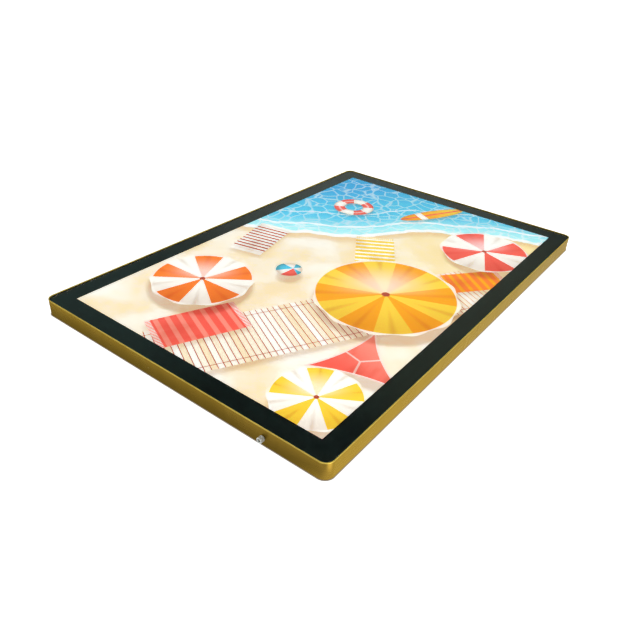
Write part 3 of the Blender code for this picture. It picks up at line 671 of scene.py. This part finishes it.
def paintSail(picture, place):
    # a coral sun sail with three seams
    v, sail = posterValues, posterValues["sail"]
    picture = castShade(picture, outsideSail(localPlace(place, sail, 2)), 0.5)
    local = localPlace(place, sail)
    x, y, z = splitPlace(local)
    slope = plus(times(x, 0.7), y)
    cloth = mixColours(fade(slope, -0.06, 0.08), v["coral"], v["paleCoral"])
    third = over(plus(calc("ARCTAN2", y, x), pi / 2), 2 * pi / 3)
    seam = times(calc("PINGPONG", third, 0.5), vectorCalc("LENGTH", local))
    cloth = mixColours(fade(seam, *sail["seam"], 0.0, 0.55), cloth, v["white"])
    folds = cloud(stretched(local, (26, 11, 1)), 1.0, 3.0)
    cloth = darken(fade(folds, 0.45, 0.7, 0.0, 0.4), cloth)
    distance = outsideSail(local)
    cloth = mixColours(fade(distance, *sail["hem"], 0.0, 0.7), cloth, v["white"])
    return layOn(picture, distance, cloth)


def paintRing(picture, place):
    # a striped swim ring on the water
    v, ring = posterValues, posterValues["ring"]
    radius, tube = ring["radius"], ring["tube"]
    shade = absolute(minus(farFrom(place, ring, 1), radius))
    picture = castShade(picture, minus(shade, tube), 0.35)
    local = localPlace(place, ring)
    x, y, z = splitPlace(local)
    bands = stripes(sectors(x, y, ring["bands"]), 2.0, 0.5, 0.03)
    colour = mixColours(bands, v["coral"], v["white"])
    across = absolute(minus(vectorCalc("LENGTH", local), radius))
    colour = darken(fade(across, 0.4 * tube, tube, 0.0, 0.6), colour)
    colour = mixColours(fade(across, 0.3 * tube, 0.0, 0.0, 0.5), colour, v["foam"])
    return layOn(picture, minus(across, tube), colour)


def paintBall(picture, place):
    # a beach ball with its pole a little off the middle
    v, ball = posterValues, posterValues["ball"]
    radius = ball["radius"]
    picture = castShade(picture, minus(farFrom(place, ball, 2), radius), 0.45)
    local = localPlace(place, ball)
    x, y, z = splitPlace(vectorCalc("SUBTRACT", local, ball["pole"]))
    reach = vectorCalc("LENGTH", local)
    panel = sectors(x, y, ball["panels"])
    colour = mixColours(stripes(panel, 2.0, 0.5, 0.03), v["sea"], v["white"])
    colour = mixColours(stripes(plus(panel, 1.5), 6.0, 0.17, 0.01), colour, v["coral"])
    colour = darken(fade(reach, 0.4 * radius, radius, 0.0, 0.6), colour)
    return layOn(picture, minus(reach, radius), colour)


def paintSurfboard(picture, place):
    v, board = posterValues, posterValues["surfboard"]
    half = board["half"]
    picture = castShade(picture, outsideOval(localPlace(place, board, 1), half), 0.35)
    local = localPlace(place, board)
    x, y, z = splitPlace(local)
    colour = mixColours(fade(y, -0.035, 0.075), v["amber"], v["yellow"])
    colour = mixColours(fade(absolute(x), *board["stringer"]), colour, v["coral"])
    colour = mixColours(stripes(plus(y, 0.030), 0.30, 0.055, 0.01), colour, v["white"])
    distance = outsideOval(local, half)
    colour = darken(fade(distance, -0.006, 0.0, 0.0, 0.4), colour)
    return layOn(picture, distance, colour)


def posterFinish():
    v = posterValues
    finish, shader = newFinish("litPosterFilm", Roughness=0.5, Emission_Strength=v["glow"],
                               Specular_IOR_Level=0.3)
    x, y, z = splitPlace(objectPlace(shader))
    place = joinPlace(x, minus(y, boxMiddle.y), 0.0)
    picture = paintBoards(paintShore(place), place)
    for towel in v["towels"]:
        picture = paintTowel(picture, place, towel)
    for paint in (paintRing, paintBall, paintSurfboard, paintSail):
        picture = paint(picture, place)
    for parasol in v["parasols"]:
        picture = paintParasol(picture, place, parasol)
    # printed grain, and the light a little stronger beside the two lit sides
    grain = cloud(place, 1500.0, 2.0)
    picture = darken(fade(grain, 0.5, 0.8, 0.0, 0.10), picture)
    lit = times(absolute(x), 1 / boxHalf.x)
    glow = mixColours(fade(lit, 0.2, 0.9, 0.10, 0.0), picture, v["unlit"], "MULTIPLY")
    setSurface(shader, picture)
    plug(glow, shader.inputs["Emission Color"])
    setBumps(shader, grain, v["filmDepth"], 0.3)
    return finish


paintNode("poster_sheet", posterFinish())
print("poster painted")


# keeper strips, magnets and riveted plates: plated steel
platedValues = {
    "zinc": (0.56, 0.57, 0.56, 1),
    "zincBlue": (0.47, 0.50, 0.53, 1),
    "zincPale": (0.70, 0.71, 0.70, 1),
    "spangleScale": 240.0,
    "nickel": (0.95, 0.98, 0.94, 1),
    "nickelDark": (0.68, 0.71, 0.68, 1),
    "magnetRows": {"left": 4, "right": 4, "top": 2, "bottom": 2},
}


def zincFinish():
    v = platedValues
    finish, shader = newFinish("zincPlate", Metallic=1.0)
    place = objectPlace(shader)
    spangle = addNode("ShaderNodeTexVoronoi", place, None, v["spangleScale"])
    tone = splitPlace(spangle.outputs["Color"])[0]
    patches = cloud(place, 30.0, 4.0)
    colour = mixColours(fade(patches, 0.35, 0.65), v["zinc"], v["zincBlue"])
    colour = mixColours(times(tone, 0.35), colour, v["zincPale"])
    setSurface(shader, colour, fade(tone, 0.0, 1.0, 0.30, 0.46))
    setBumps(shader, cloud(place, 1400.0, 2.0), 0.00001, 0.5)
    return finish


def nickelFinish(name, around=False):
    # satin nickel; turned pieces show fine rings about their axis
    v = platedValues
    finish, shader = newFinish(name, Metallic=0.25 if around else 1.0)
    place = objectPlace(shader)
    rings = cloud(stretched(place, (40, 5200, 40) if around else (300, 300, 300)), 1.0, 3.0)
    dull = cloud(place, 420.0, 3.0)
    colour = mixColours(fade(dull, 0.4, 0.7, 0.0, 0.5), v["nickel"], v["nickelDark"])
    colour = mixColours(fade(rings, 0.55, 0.8, 0.0, 0.4), colour, v["nickelDark"])
    setSurface(shader, colour, fade(rings, 0.3, 0.7, 0.34, 0.48))
    setBumps(shader, rings, 0.000015, 0.5)
    return finish


def dressMagnets():
    zinc, nickel = zincFinish(), nickelFinish("nickelMagnet")
    for side, count in platedValues["magnetRows"].items():
        paintNode(f"keeper_strip_{side}", zinc)
        for i in range(1, count + 1):
            mergedCopy(f"magnet_{side}_{i}", f"magnetBlock_{side}_{i}", "housing", "nickel_magnet", nickel)
    return zinc


zincPlate = dressMagnets()
print("magnets and keepers dressed")


# sheets under the poster
sheetValues = {
    "opal": (0.90, 0.90, 0.875, 1),
    "opalDeep": (0.84, 0.85, 0.83, 1),
    "guide": (0.90, 0.96, 0.95, 1),
    "guideRefraction": 1.49,
    "dot": (0.95, 0.95, 0.94, 1),
    "dotPitch": 0.0021,
    "dotSize": (0.24, 0.18),  # shares of the pitch, to the soft edge's outside and inside
    "reflector": {"colours": ((0.93, 0.93, 0.92, 1), (0.89, 0.90, 0.90, 1)), "cloud": (40.0, 4.0),
                  "mix": (0.3, 0.7), "rough": (0.30, 0.42), "bumps": (900.0, 2.0, 0.00002, 0.3)},
}


def opalFinish():
    finish, shader = newFinish("opalDiffuser", Subsurface_Weight=0.35, Subsurface_Scale=0.002)
    place = objectPlace(shader)
    tone = cloud(place, 12.0, 3.0)
    colour = mixColours(fade(tone, 0.3, 0.7), sheetValues["opal"], sheetValues["opalDeep"])
    frost = cloud(place, 2400.0, 2.0)
    setSurface(shader, colour, fade(frost, 0.3, 0.7, 0.55, 0.75))
    setBumps(shader, frost, 0.00002, 0.5)
    return finish


def guideFinish():
    # clear sheet whose back carries a regular print of small white dots
    v = sheetValues
    finish, shader = newFinish("guideAcrylic", IOR=v["guideRefraction"])
    x, y, z = splitPlace(objectPlace(shader))
    pitch = v["dotPitch"]
    row = calc("FLOOR", over(y, pitch))
    shiftRow = times(calc("PINGPONG", row, 1.0), pitch / 2)
    across, up = (minus(calc("FRACT", over(way, pitch)), 0.5) for way in (plus(x, shiftRow), y))
    reach = vectorCalc("LENGTH", joinPlace(across, up, 0.0))
    dots = fade(reach, *v["dotSize"])
    colour = mixColours(dots, v["guide"], v["dot"])
    setSurface(shader, colour, fade(dots, 0.0, 1.0, 0.02, 0.6))
    plug(fade(dots, 0.0, 1.0, 0.92, 0.1), shader.inputs["Transmission Weight"])
    return finish


paintNode("diffuser_sheet", opalFinish())
paintNode("light_guide", guideFinish())
paintNode("reflector_sheet", cloudyFinish("reflectorWhite", sheetValues["reflector"]))
print("sheets dressed")


# rails, cross bars, LED bars and foam strips
railValues = {
    "mill": (0.66, 0.67, 0.68, 1),
    "millDark": (0.50, 0.51, 0.52, 1),
    "board": (0.86, 0.86, 0.82, 1),
    "boardWarm": (0.78, 0.78, 0.73, 1),
    "copper": (0.78, 0.62, 0.36, 1),
    "lampBody": (0.93, 0.92, 0.88, 1),
    "phosphor": (1.0, 0.78, 0.22, 1),
    "lampLight": (1, 0.93, 0.78, 1),
    "lampGlow": 1.5,
    "lampPitch": 0.020,
    "lampHalf": (0.00175, 0.0014),
    "phosphorInset": (0.0005, 0.0004),
    "padReach": (0.0002, 0.0011),  # from a lamp's end to where a pad begins and ends
    "padHalf": 0.0009,
    "trackPlace": 0.0021,
    "trackHalf": (0.00022, 0.00012),
    "foam": (0.10, 0.10, 0.105, 1),
    "foamPale": (0.19, 0.19, 0.20, 1),
}


def millFinish(name, alongX):
    # mill aluminium with die lines along the bar
    finish, shader = newFinish(name, Metallic=1.0)
    place = objectPlace(shader)
    lines = cloud(stretched(place, (6, 3400, 3400) if alongX else (3400, 6, 3400)), 1.0, 4.0, 0.6)
    dull = cloud(place, 22.0, 4.0)
    tone = plus(times(lines, 0.6), times(dull, 0.4))
    colour = mixColours(fade(tone, 0.36, 0.64), railValues["mill"], railValues["millDark"])
    setSurface(shader, colour, fade(tone, 0.3, 0.7, 0.28, 0.44))
    setBumps(shader, lines, 0.00002, 0.6)
    return finish


def boardFinish():
    # white board with a row of lamps, their solder pads and two thin tracks
    v = railValues
    finish, shader = newFinish("ledBoard", Roughness=0.4, Emission_Strength=v["lampGlow"])
    low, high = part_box("led_bar_left")
    place = objectPlace(shader)
    middle = (0, boxMiddle.y, (low.z + high.z) / 2)
    x, y, z = splitPlace(vectorCalc("SUBTRACT", place, middle))
    step = calc("FRACT", over(y, v["lampPitch"]))
    along = times(absolute(minus(step, 0.5)), v["lampPitch"])
    up = absolute(z)
    halfLong, halfHigh = v["lampHalf"]

    def window(long, tall, soft=0.0001):
        across = fade(along, long + soft, long - soft)
        return times(across, fade(up, tall + soft, tall - soft))

    padStart, padEnd = (window(halfLong + reach, v["padHalf"]) for reach in v["padReach"])
    pads = larger(minus(padEnd, padStart), 0.0)
    track = absolute(minus(up, v["trackPlace"]))
    tracks = times(fade(track, *v["trackHalf"]), 0.35)
    grain = cloud(place, 900.0, 3.0)
    colour = mixColours(fade(grain, 0.4, 0.7, 0.0, 0.25), v["board"], v["boardWarm"])
    colour = mixColours(larger(pads, tracks), colour, v["copper"])
    colour = mixColours(window(halfLong, halfHigh), colour, v["lampBody"])
    phosphor = window(halfLong - v["phosphorInset"][0], halfHigh - v["phosphorInset"][1], 0.0002)
    setSurface(shader, mixColours(phosphor, colour, v["phosphor"]))
    plug(mixColours(phosphor, (0, 0, 0, 1), v["lampLight"]), shader.inputs["Emission Color"])
    setBumps(shader, grain, 0.00001, 0.3)
    return finish


def foamFinish():
    finish, shader = newFinish("greyFoam", Roughness=0.9)
    place = objectPlace(shader)
    cells = addNode("ShaderNodeTexVoronoi", place, None, 1500.0).outputs["Distance"]
    colour = mixColours(fade(cells, 0.1, 0.6), railValues["foam"], railValues["foamPale"])
    setSurface(shader, colour)
    setBumps(shader, cells, 0.0002, 0.8)
    return finish


def dressLighting():
    alongY, alongX = millFinish("millSideRail", False), millFinish("millEndRail", True)
    board, foam = boardFinish(), foamFinish()
    for side in ("left", "right"):
        paintNode(f"led_rail_{side}", alongY)
        paintNode(f"led_bar_{side}", board)
    for side in ("top", "bottom"):
        paintNode(f"end_rail_{side}", alongX)
        paintNode(f"end_foam_{side}", foam)
    for place in ("upper", "lower"):
        paintNode(f"cross_bar_{place}", alongX)


dressLighting()
print("lighting dressed")


# back panel, hanger plates, screws and rivets
backValues = {
    "sheet": (0.60, 0.61, 0.62, 1),
    "sheetDark": (0.47, 0.48, 0.49, 1),
    "steel": {"colours": ((0.56, 0.56, 0.54, 1), (0.20, 0.20, 0.20, 1)), "cloud": (900.0, 4.0),
              "mix": (0.45, 0.7, 0.0, 0.6), "rough": (0.24, 0.42), "bumps": (5000.0, 2.0, 0.00001, 0.5)},
    "scratch": (0.82, 0.83, 0.84, 1),
    "scratchTurn": 23,
    "screwRows": {"left": 4, "right": 4, "top": 2, "bottom": 2},
}


def sheetFinish():
    # rolled satin sheet with faint long scratches
    v = backValues
    finish, shader = newFinish("backSheet", Metallic=1.0)
    place = objectPlace(shader)
    rolled = cloud(stretched(place, (1900, 5, 1900)), 1.0, 4.0, 0.6)
    patches = cloud(place, 6.0, 5.0, 0.6)
    tone = plus(times(rolled, 0.45), times(patches, 0.55))
    colour = mixColours(fade(tone, 0.38, 0.62), v["sheet"], v["sheetDark"])
    turned = addNode("ShaderNodeMapping", place, vector_type="POINT")
    turned.inputs["Rotation"].default_value = (0, 0, radians(v["scratchTurn"]))
    turned.inputs["Scale"].default_value = (9, 700, 9)
    scratch = times(fade(cloud(turned.outputs[0], 1.0, 1.0), 0.735, 0.76),
                    fade(cloud(place, 17.0, 2.0), 0.50, 0.62))
    colour = mixColours(times(scratch, 0.6), colour, v["scratch"])
    rough = minus(fade(tone, 0.3, 0.7, 0.34, 0.50), times(scratch, 0.12))
    setSurface(shader, colour, rough)
    setBumps(shader, minus(rolled, scratch), 0.000015, 0.5)
    return finish


screwValues = {
    "headRadius": 0.0026,
    "headHeight": 0.0008,
    "rim": 0.00008,
    "dome": (0.0007, 0.00062),  # how far the head's edge is rounded, inwards and down
    "shankRadius": 0.00145,
    "plainShank": 0.0008,
    "tip": 0.0007,
    "threadDepth": 0.00028,
    "threadPitch": 0.0006,
    "threadMargin": 0.0010,  # left free at the tip and under the head
    "recessLength": 0.0030,
    "recessWidth": 0.00062,
    "recessDepth": 0.00060,
    "recessFloor": (0.55, 0.7),  # how far a blade narrows, along and across
    "firstTurn": 12,
    "turnStep": 37,
}


def screwShape(low, high):
    # pan head and ringed thread, without the cross recess, which is cut afterwards; the head points down
    v = screwValues
    head, shank, pitch, margin = v["headRadius"], v["shankRadius"], v["threadPitch"], v["threadMargin"]
    headTop = low + v["headHeight"]
    rings = [(shank * 0.25, high), (shank * 0.8, high - v["tip"])]
    level = high - margin
    while level - pitch > headTop + margin:
        rings += [(shank, level), (shank - v["threadDepth"], level - pitch * 0.5)]
        level -= pitch
    rim = headTop - v["rim"]
    rings += [(shank, headTop + v["plainShank"]), (shank, headTop), (head * 0.985, headTop), (head, rim)]
    inwards, down = v["dome"]
    for step in range(1, 6):
        turn = step / 5 * pi / 2
        rings.append((head - inwards * (1 - cos(turn)), rim - down * sin(turn)))
    rings.append((head * 0.45, low))
    return turnedPiece("screwShape", rings, 28)


def recessCutter(low, turn):
    # one tapered blade of the cross recess
    v = screwValues
    deselectAll()
    bpy.ops.mesh.primitive_cube_add(size=1, location=(0, 0, low + v["recessDepth"] / 2 - 0.0001),
                                    scale=(v["recessLength"], v["recessWidth"], v["recessDepth"] + 0.0002))
    blade = bpy.context.object
    bpy.ops.object.transform_apply(location=True, scale=True)
    startEdit(blade)
    bpy.ops.mesh.select_all(action="DESELECT")
    endEdit()
    for vertex in blade.data.vertices:
        vertex.select = vertex.co.z > low
    bpy.ops.object.mode_set(mode="EDIT")
    bpy.ops.transform.resize(value=(*v["recessFloor"], 1), center_override=(0, 0, low))
    endEdit()
    blade.data.transform(Matrix.Rotation(radians(turn), 4, "Z"))
    return blade


rivetValues = {
    "headRadius": 0.0030,
    "headHeight": 0.0008,
    "rim": 0.0001,
    "domeHeight": 0.0007,
    "pinHole": 0.0012,
    "shankRadius": 0.0016,
    "tailRadius": 0.0024,
    # the broken pin: radius and height over the head's lowest point
    "pin": ((0.00105, 0.0001), (0.0010, 0.0005), (0.0009, 0.00045), (0.00086, 0.0002), (0.0007, 0.00014)),
}


def rivetShape(low, high, shankTop):
    # blind rivet: low dome with the broken pin in its middle, and the set bulb inside
    v = rivetValues
    head, shank, tail, hole = v["headRadius"], v["shankRadius"], v["tailRadius"], v["pinHole"]
    headTop = low + v["headHeight"]
    rim = headTop - v["rim"]
    rings = [(shank * 0.6, high), (shank, high - 0.0002), (tail * 0.9, high - 0.0006),
             (tail, shankTop + 0.0004), (tail * 0.93, shankTop), (shank, shankTop), (shank, headTop),
             (head * 0.97, headTop), (head, rim)]
    for step in range(1, 7):
        turn = step / 6 * pi / 2
        rings.append((hole + (head - hole) * cos(turn), rim - v["domeHeight"] * sin(turn)))
    rings += [(radius, low + up) for radius, up in v["pin"]]
    return turnedPiece("rivetShape", rings, 28)


def levelsOf(nodeName):
    low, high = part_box(nodeName)
    return low.z, high.z


def moveTo(nodeName):
    low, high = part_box(nodeName)
    middle = (low + high) / 2
    return Matrix.Translation((middle.x, middle.y, 0))


def dressBack(zinc):
    mergedCopy("back_panel", "backSheet", "housing", "back_sheet", sheetFinish(), 40)
    steel = cloudyFinish("screwSteel", backValues["steel"], Metallic=1.0)
    mill = bpy.data.materials["millSideRail"]
    low, high = levelsOf("back_screw_left_1")
    screw = screwShape(low, high)
    for turn in (0, 90):
        cutWith(screw, recessCutter(low, turn))
    smoothPiece(screw, 40)
    # no two screws are left at the same turn
    angle = screwValues["firstTurn"]
    for side, count in backValues["screwRows"].items():
        for i in range(1, count + 1):
            turn = Matrix.Rotation(radians(angle), 4, "Z")
            copy = copyAt(screw, f"backScrew_{side}_{i}", moveTo(f"back_screw_{side}_{i}") @ turn)
            placePiece(copy, "housing", "screw_steel", steel, f"back_screw_{side}_{i}")
            angle += screwValues["turnStep"]
    bpy.data.objects.remove(screw)
    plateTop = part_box("hanger_plate_left")[1].z
    rivet = rivetShape(*levelsOf("hanger_rivet_left_1"), plateTop + 0.0003)
    smoothPiece(rivet, 45)
    for side in ("left", "right"):
        mergedCopy(f"hanger_plate_{side}", f"hangerPlate_{side}", "housing", "zinc_plate", zinc, 40)
        for i in (1, 2):
            copy = copyAt(rivet, f"hangerRivet_{side}_{i}", moveTo(f"hanger_rivet_{side}_{i}"))
            placePiece(copy, "housing", "mill_aluminium", mill, f"hanger_rivet_{side}_{i}")
    bpy.data.objects.remove(rivet)


dressBack(zincPlate)
print("back dressed")


# low-voltage inlet with its two leads
inletValues = {
    "barrelRadius": 0.0045,
    "barrelEase": 0.0004,
    "boreRadius": 0.0029,
    "neckRadius": 0.0030,
    "neckBore": 0.0022,
    "barrelLength": 0.0075,
    "barrelBase": 0.0003,
    "smallEase": 0.00015,
    # depth and place along the barrel
    "groove": ((0, 0.0017), (0.00022, 0.0019), (0.00022, 0.0023), (0, 0.0025)),
    "wall": 0.0014,
    "neckIn": 0.0050,
    "boreFloor": 0.0009,
    "black": {"colours": ((0.018, 0.018, 0.019, 1), (0.032, 0.032, 0.034, 1)), "cloud": (2600.0, 3.0),
              "mix": (0.35, 0.7), "rough": (0.38, 0.52), "bumps": (2600.0, 3.0, 0.00002, 0.4)},
    "brass": (0.70, 0.52, 0.21, 1),
    "brassDark": (0.50, 0.34, 0.12, 1),
    "sheath": {"colours": ((0.016, 0.016, 0.017, 1), (0.045, 0.045, 0.047, 1)), "cloud": (120.0, 4.0),
               "mix": (0.4, 0.75), "rough": (0.42, 0.60), "bumps": (3000.0, 2.0, 0.00001, 0.4)},
}


def brassFinish():
    finish, shader = newFinish("brassContact", Metallic=1.0)
    place = objectPlace(shader)
    rings = cloud(stretched(place, (60, 4200, 60)), 1.0, 3.0)
    colour = mixColours(fade(rings, 0.4, 0.75), inletValues["brass"], inletValues["brassDark"])
    setSurface(shader, colour, fade(rings, 0.3, 0.7, 0.16, 0.30))
    return finish


def barrelShape():
    # socket barrel with its threaded neck, turned about Z; zero is the wall's outer face
    v = inletValues
    outer, bore, neck, neckBore = v["barrelRadius"], v["boreRadius"], v["neckRadius"], v["neckBore"]
    tip, base, ease, smallEase = v["barrelLength"], v["barrelBase"], v["barrelEase"], v["smallEase"]
    inner = -v["wall"] - v["neckIn"]
    rings = [(neckBore, inner), (neck, inner), (neck, base), (outer - smallEase, base),
             (outer, base + smallEase)]
    rings += [(outer - depth, along) for depth, along in v["groove"]]
    for step in range(1, 6):
        turn = step / 5 * pi / 2
        rings.append((outer - ease * (1 - cos(turn)), tip - ease * (1 - sin(turn))))
    rings += [(bore + smallEase, tip), (bore, tip - smallEase), (bore, v["boreFloor"]),
              (neckBore, v["boreFloor"]), (neckBore, inner)]
    return turnedPiece("inletBarrel", rings, 56, hollow=True)


def dressInlet():
    barrelMiddle = (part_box("inlet_barrel")[0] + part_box("inlet_barrel")[1]) / 2
    barrel = barrelShape()
    out = Matrix.Translation((barrelMiddle.x, frameLow.y, barrelMiddle.z)) @ Matrix.Rotation(pi / 2, 4, "X")
    barrel.data.transform(out)
    smoothPiece(barrel, 40)
    nickel = nickelFinish("nickelPlate", True)
    placePiece(barrel, "housing", "nickel_plate", nickel, "inlet_barrel")
    mergedCopy("inlet_nut", "inletNut", "housing", "nickel_plate", nickel, 40, inletValues["smallEase"])
    black = cloudyFinish("blackPlastic", inletValues["black"])
    mergedCopy("inlet_insulator", "inletInsulator", "housing", "black_plastic", black, 40)
    mergedCopy("inlet_pin", "inletPin", "housing", "brass_contact", brassFinish(), 60)
    sheath = cloudyFinish("leadSheath", inletValues["sheath"], Specular_IOR_Level=0.4)
    for side in ("left", "right"):
        mergedCopy(f"supply_lead_{side}", f"supplyLead_{side}", "housing", "lead_sheath", sheath, 60)


dressInlet()
print("inlet dressed")


# floor, lights and surroundings
stageValues = {
    "floorColour": (0.88, 0.88, 0.875, 1),
    "floorShade": (0.86, 0.86, 0.86, 1),
    "floorGlow": 1.16,
    "floorSize": 60.0,
    "floorDrop": 0.0002,
    "opening": 0.005,
    # painted contact shadow on the floor
    "contact": (0.10, 0.065, 0.03, 1),
    "contactEdge": (-0.0022, -0.0004),
    "aroundGlow": 1.05,
    "sideGlow": (1.30, 0.92),
    "frontGlow": (0.42, 1.85),
    "frontReach": 0.075,
    "frontEdge": (-0.004, 0.0),
    "besideEdge": (0.008, -0.030),
    "besideSlope": 0.36,
    "cornerGlow": (2.7, 2.7, 2.7, 1),
    "cornerPlace": (0.034, 0.002),  # from the nearest corner, in metres
    "cornerEdge": (0.026, 0.010),
    "ceiling": (0.34, 0.35, 0.35, 1),
    "zenith": (0.034, 0.042, 0.040, 1),
    "horizon": (0.075, 0.08, 0.08, 1),
    "upper": (0.62, 0.62, 0.60, 1),
    "upperLow": (0.42, 0.56),
    "upperHigh": (0.92, 0.80),
    "upperAside": (0.88, 0.66),
    # pale patches that the cover mirrors
    "hazes": {
        "side": {"colour": (0.085, 0.125, 0.115, 1), "from": (-0.78, 0.391, 0.489), "edge": (0.960, 0.996)},
        "back": {"colour": (0.125, 0.140, 0.100, 1), "from": (-0.298, 0.795, 0.528), "edge": (0.970, 0.998)},
        "main": {"colour": (0.19, 0.215, 0.195, 1), "from": (-0.52, 0.787, 0.334), "edge": (0.94, 0.999)},
    },
    "below": (0.62, 0.62, 0.62, 1),
    "backdrop": (1.0, 1.0, 1.0, 1),
    # name, place, what it points at, width, height, brightness and whether it is mirrored
    "softboxes": (
        ("rightBackSoftbox", (1.45, 1.75, 0.95), (0.25, 0.10, 0.0), 1.3, 0.9, 8.0, False),
        ("leftFrontSoftbox", (-1.15, -1.40, 1.55), (-0.1, -0.3, 0.0), 1.3, 0.9, 4.5, False),
        ("lowRightSoftbox", (1.55, -0.15, 0.28), (0.3, -0.25, 0.0), 0.8, 0.35, 9.0, False),
        ("highSoftbox", (-0.35, 0.60, 2.0), (0.0, 0.0, 0.0), 0.9, 0.7, 3.0, True),
        ("underFill", (0.4, -0.6, -1.6), (0.0, 0.0, 0.0), 1.6, 1.6, 0.95, True),
    ),
}


def mirroredFloor(place):
    # what the metal mirrors: a floor that is dimmer before the lower wall
    # and brightest beside the nearest corner
    v = stageValues
    x, y, z = splitPlace(place)
    side = fade(y, frameLow.y, frameHigh.y, *v["sideGlow"])
    glow = fade(x, frameHigh.x - 0.02, frameHigh.x, v["aroundGlow"], side)
    ahead = minus(frameLow.y, y)
    front = fade(ahead, 0.0, v["frontReach"], *v["frontGlow"])
    beside = minus(times(minus(x, frameHigh.x), v["besideSlope"]), ahead)
    before = smaller(fade(ahead, *v["frontEdge"]), fade(beside, *v["besideEdge"]))
    glow = mixColours(before, glow, front)
    right, up = v["cornerPlace"]
    spot = vectorCalc("DISTANCE", place, (frameHigh.x + right, frameLow.y + up, 0))
    glow = mixColours(fade(spot, *v["cornerEdge"]), glow, v["cornerGlow"])
    return addNode("ShaderNodeEmission", glow, 1.0).outputs[0]


def paleFloor():
    v = stageValues
    finish, shader = newFinish("paleFloor", Roughness=0.75, Specular_IOR_Level=0.2,
                               Emission_Strength=v["floorGlow"])
    place = objectPlace(shader)
    tone = cloud(place, 1.5, 3.0)
    colour = mixColours(fade(tone, 0.3, 0.7, 0.0, 0.25), v["floorColour"], v["floorShade"])
    # a painted contact shadow on the floor along the box's outline
    contact = fade(distanceIn(place), *v["contactEdge"], 0.0, 0.9)
    colour = mixColours(contact, colour, v["contact"])
    setSurface(shader, colour)
    plug(colour, shader.inputs["Emission Color"])
    # the floor is open under the box and clear from below, so that the back can be looked at
    deselectAll()
    size = v["floorSize"]
    bpy.ops.mesh.primitive_plane_add(size=size, location=(boxMiddle.x, boxMiddle.y, -v["floorDrop"]))
    floor = bpy.context.object
    floor.name = "floor"
    bpy.ops.object.transform_apply(location=True)
    startEdit(floor)
    bpy.ops.mesh.inset(thickness=size / 2 - boxHalf.x + v["opening"])
    share = (boxHalf.y - v["opening"]) / (boxHalf.x - v["opening"])
    bpy.ops.transform.resize(value=(1, share, 1), center_override=tuple(boxMiddle))
    bpy.ops.mesh.delete(type="FACE")
    endEdit()
    floor.data.materials.append(finish)
    tree = finish.node_tree
    seen = tree.nodes.new("ShaderNodeLightPath").outputs["Is Camera Ray"]
    above = addNode("ShaderNodeMixShader", seen, mirroredFloor(place), shader.outputs[0])
    behind = tree.nodes.new("ShaderNodeNewGeometry").outputs["Backfacing"]
    clear = tree.nodes.new("ShaderNodeBsdfTransparent")
    whole = addNode("ShaderNodeMixShader", behind, above.outputs[0], clear.outputs[0])
    plug(whole.outputs[0], tree.nodes["Material Output"].inputs["Surface"])


def addSoftbox(name, place, target, width, height, brightness, mirrored):
    data = bpy.data.lights.new(name, "AREA")
    data.shape = "RECTANGLE"
    data.size, data.size_y = width, height
    data.energy = brightness * pi * width * height
    light = bpy.data.objects.new(name, data)
    bpy.context.scene.collection.objects.link(light)
    light.location = place
    light.rotation_euler = (Vector(target) - Vector(place)).to_track_quat("-Z", "Y").to_euler()
    light.visible_camera = False
    light.visible_glossy = light.visible_transmission = mirrored


def setLights():
    v = stageValues
    for softbox in v["softboxes"]:
        addSoftbox(*softbox)
    world = bpy.data.worlds.new("studio")
    world.use_nodes = True
    tree = world.node_tree
    background = tree.nodes["Background"]
    x, y, z = splitPlace(tree.nodes.new("ShaderNodeTexCoord").outputs["Generated"])
    room = mixColours(fade(z, 0.1, 0.6), v["horizon"], v["zenith"])
    room = mixColours(fade(z, 0.90, 0.98), room, v["ceiling"])
    direction = joinPlace(x, y, z)
    # metal mirrors a lighter room higher up, aside from what the cover mirrors
    path = tree.nodes.new("ShaderNodeLightPath")
    towards = vectorCalc("DOT_PRODUCT", direction, v["hazes"]["main"]["from"])
    aside = fade(towards, *v["upperAside"])
    ring = times(fade(z, *v["upperLow"]), fade(z, *v["upperHigh"]))
    mirrored = times(path.outputs["Is Glossy Ray"], path.outputs["Is Reflection Ray"])
    ring = times(times(ring, aside), mirrored)
    room = mixColours(ring, room, v["upper"])
    for haze in v["hazes"].values():
        towards = vectorCalc("DOT_PRODUCT", direction, haze["from"])
        room = mixColours(fade(towards, *haze["edge"]), room, haze["colour"])
    room = mixColours(fade(z, 0.02, -0.05), room, v["below"])
    room = mixColours(path.outputs["Is Camera Ray"], room, v["backdrop"])
    plug(room, background.inputs["Color"])
    bpy.context.scene.world = world
    bpy.context.scene.view_settings.view_transform = "Standard"


paleFloor()
setLights()
print("stage set")

deselectAll()
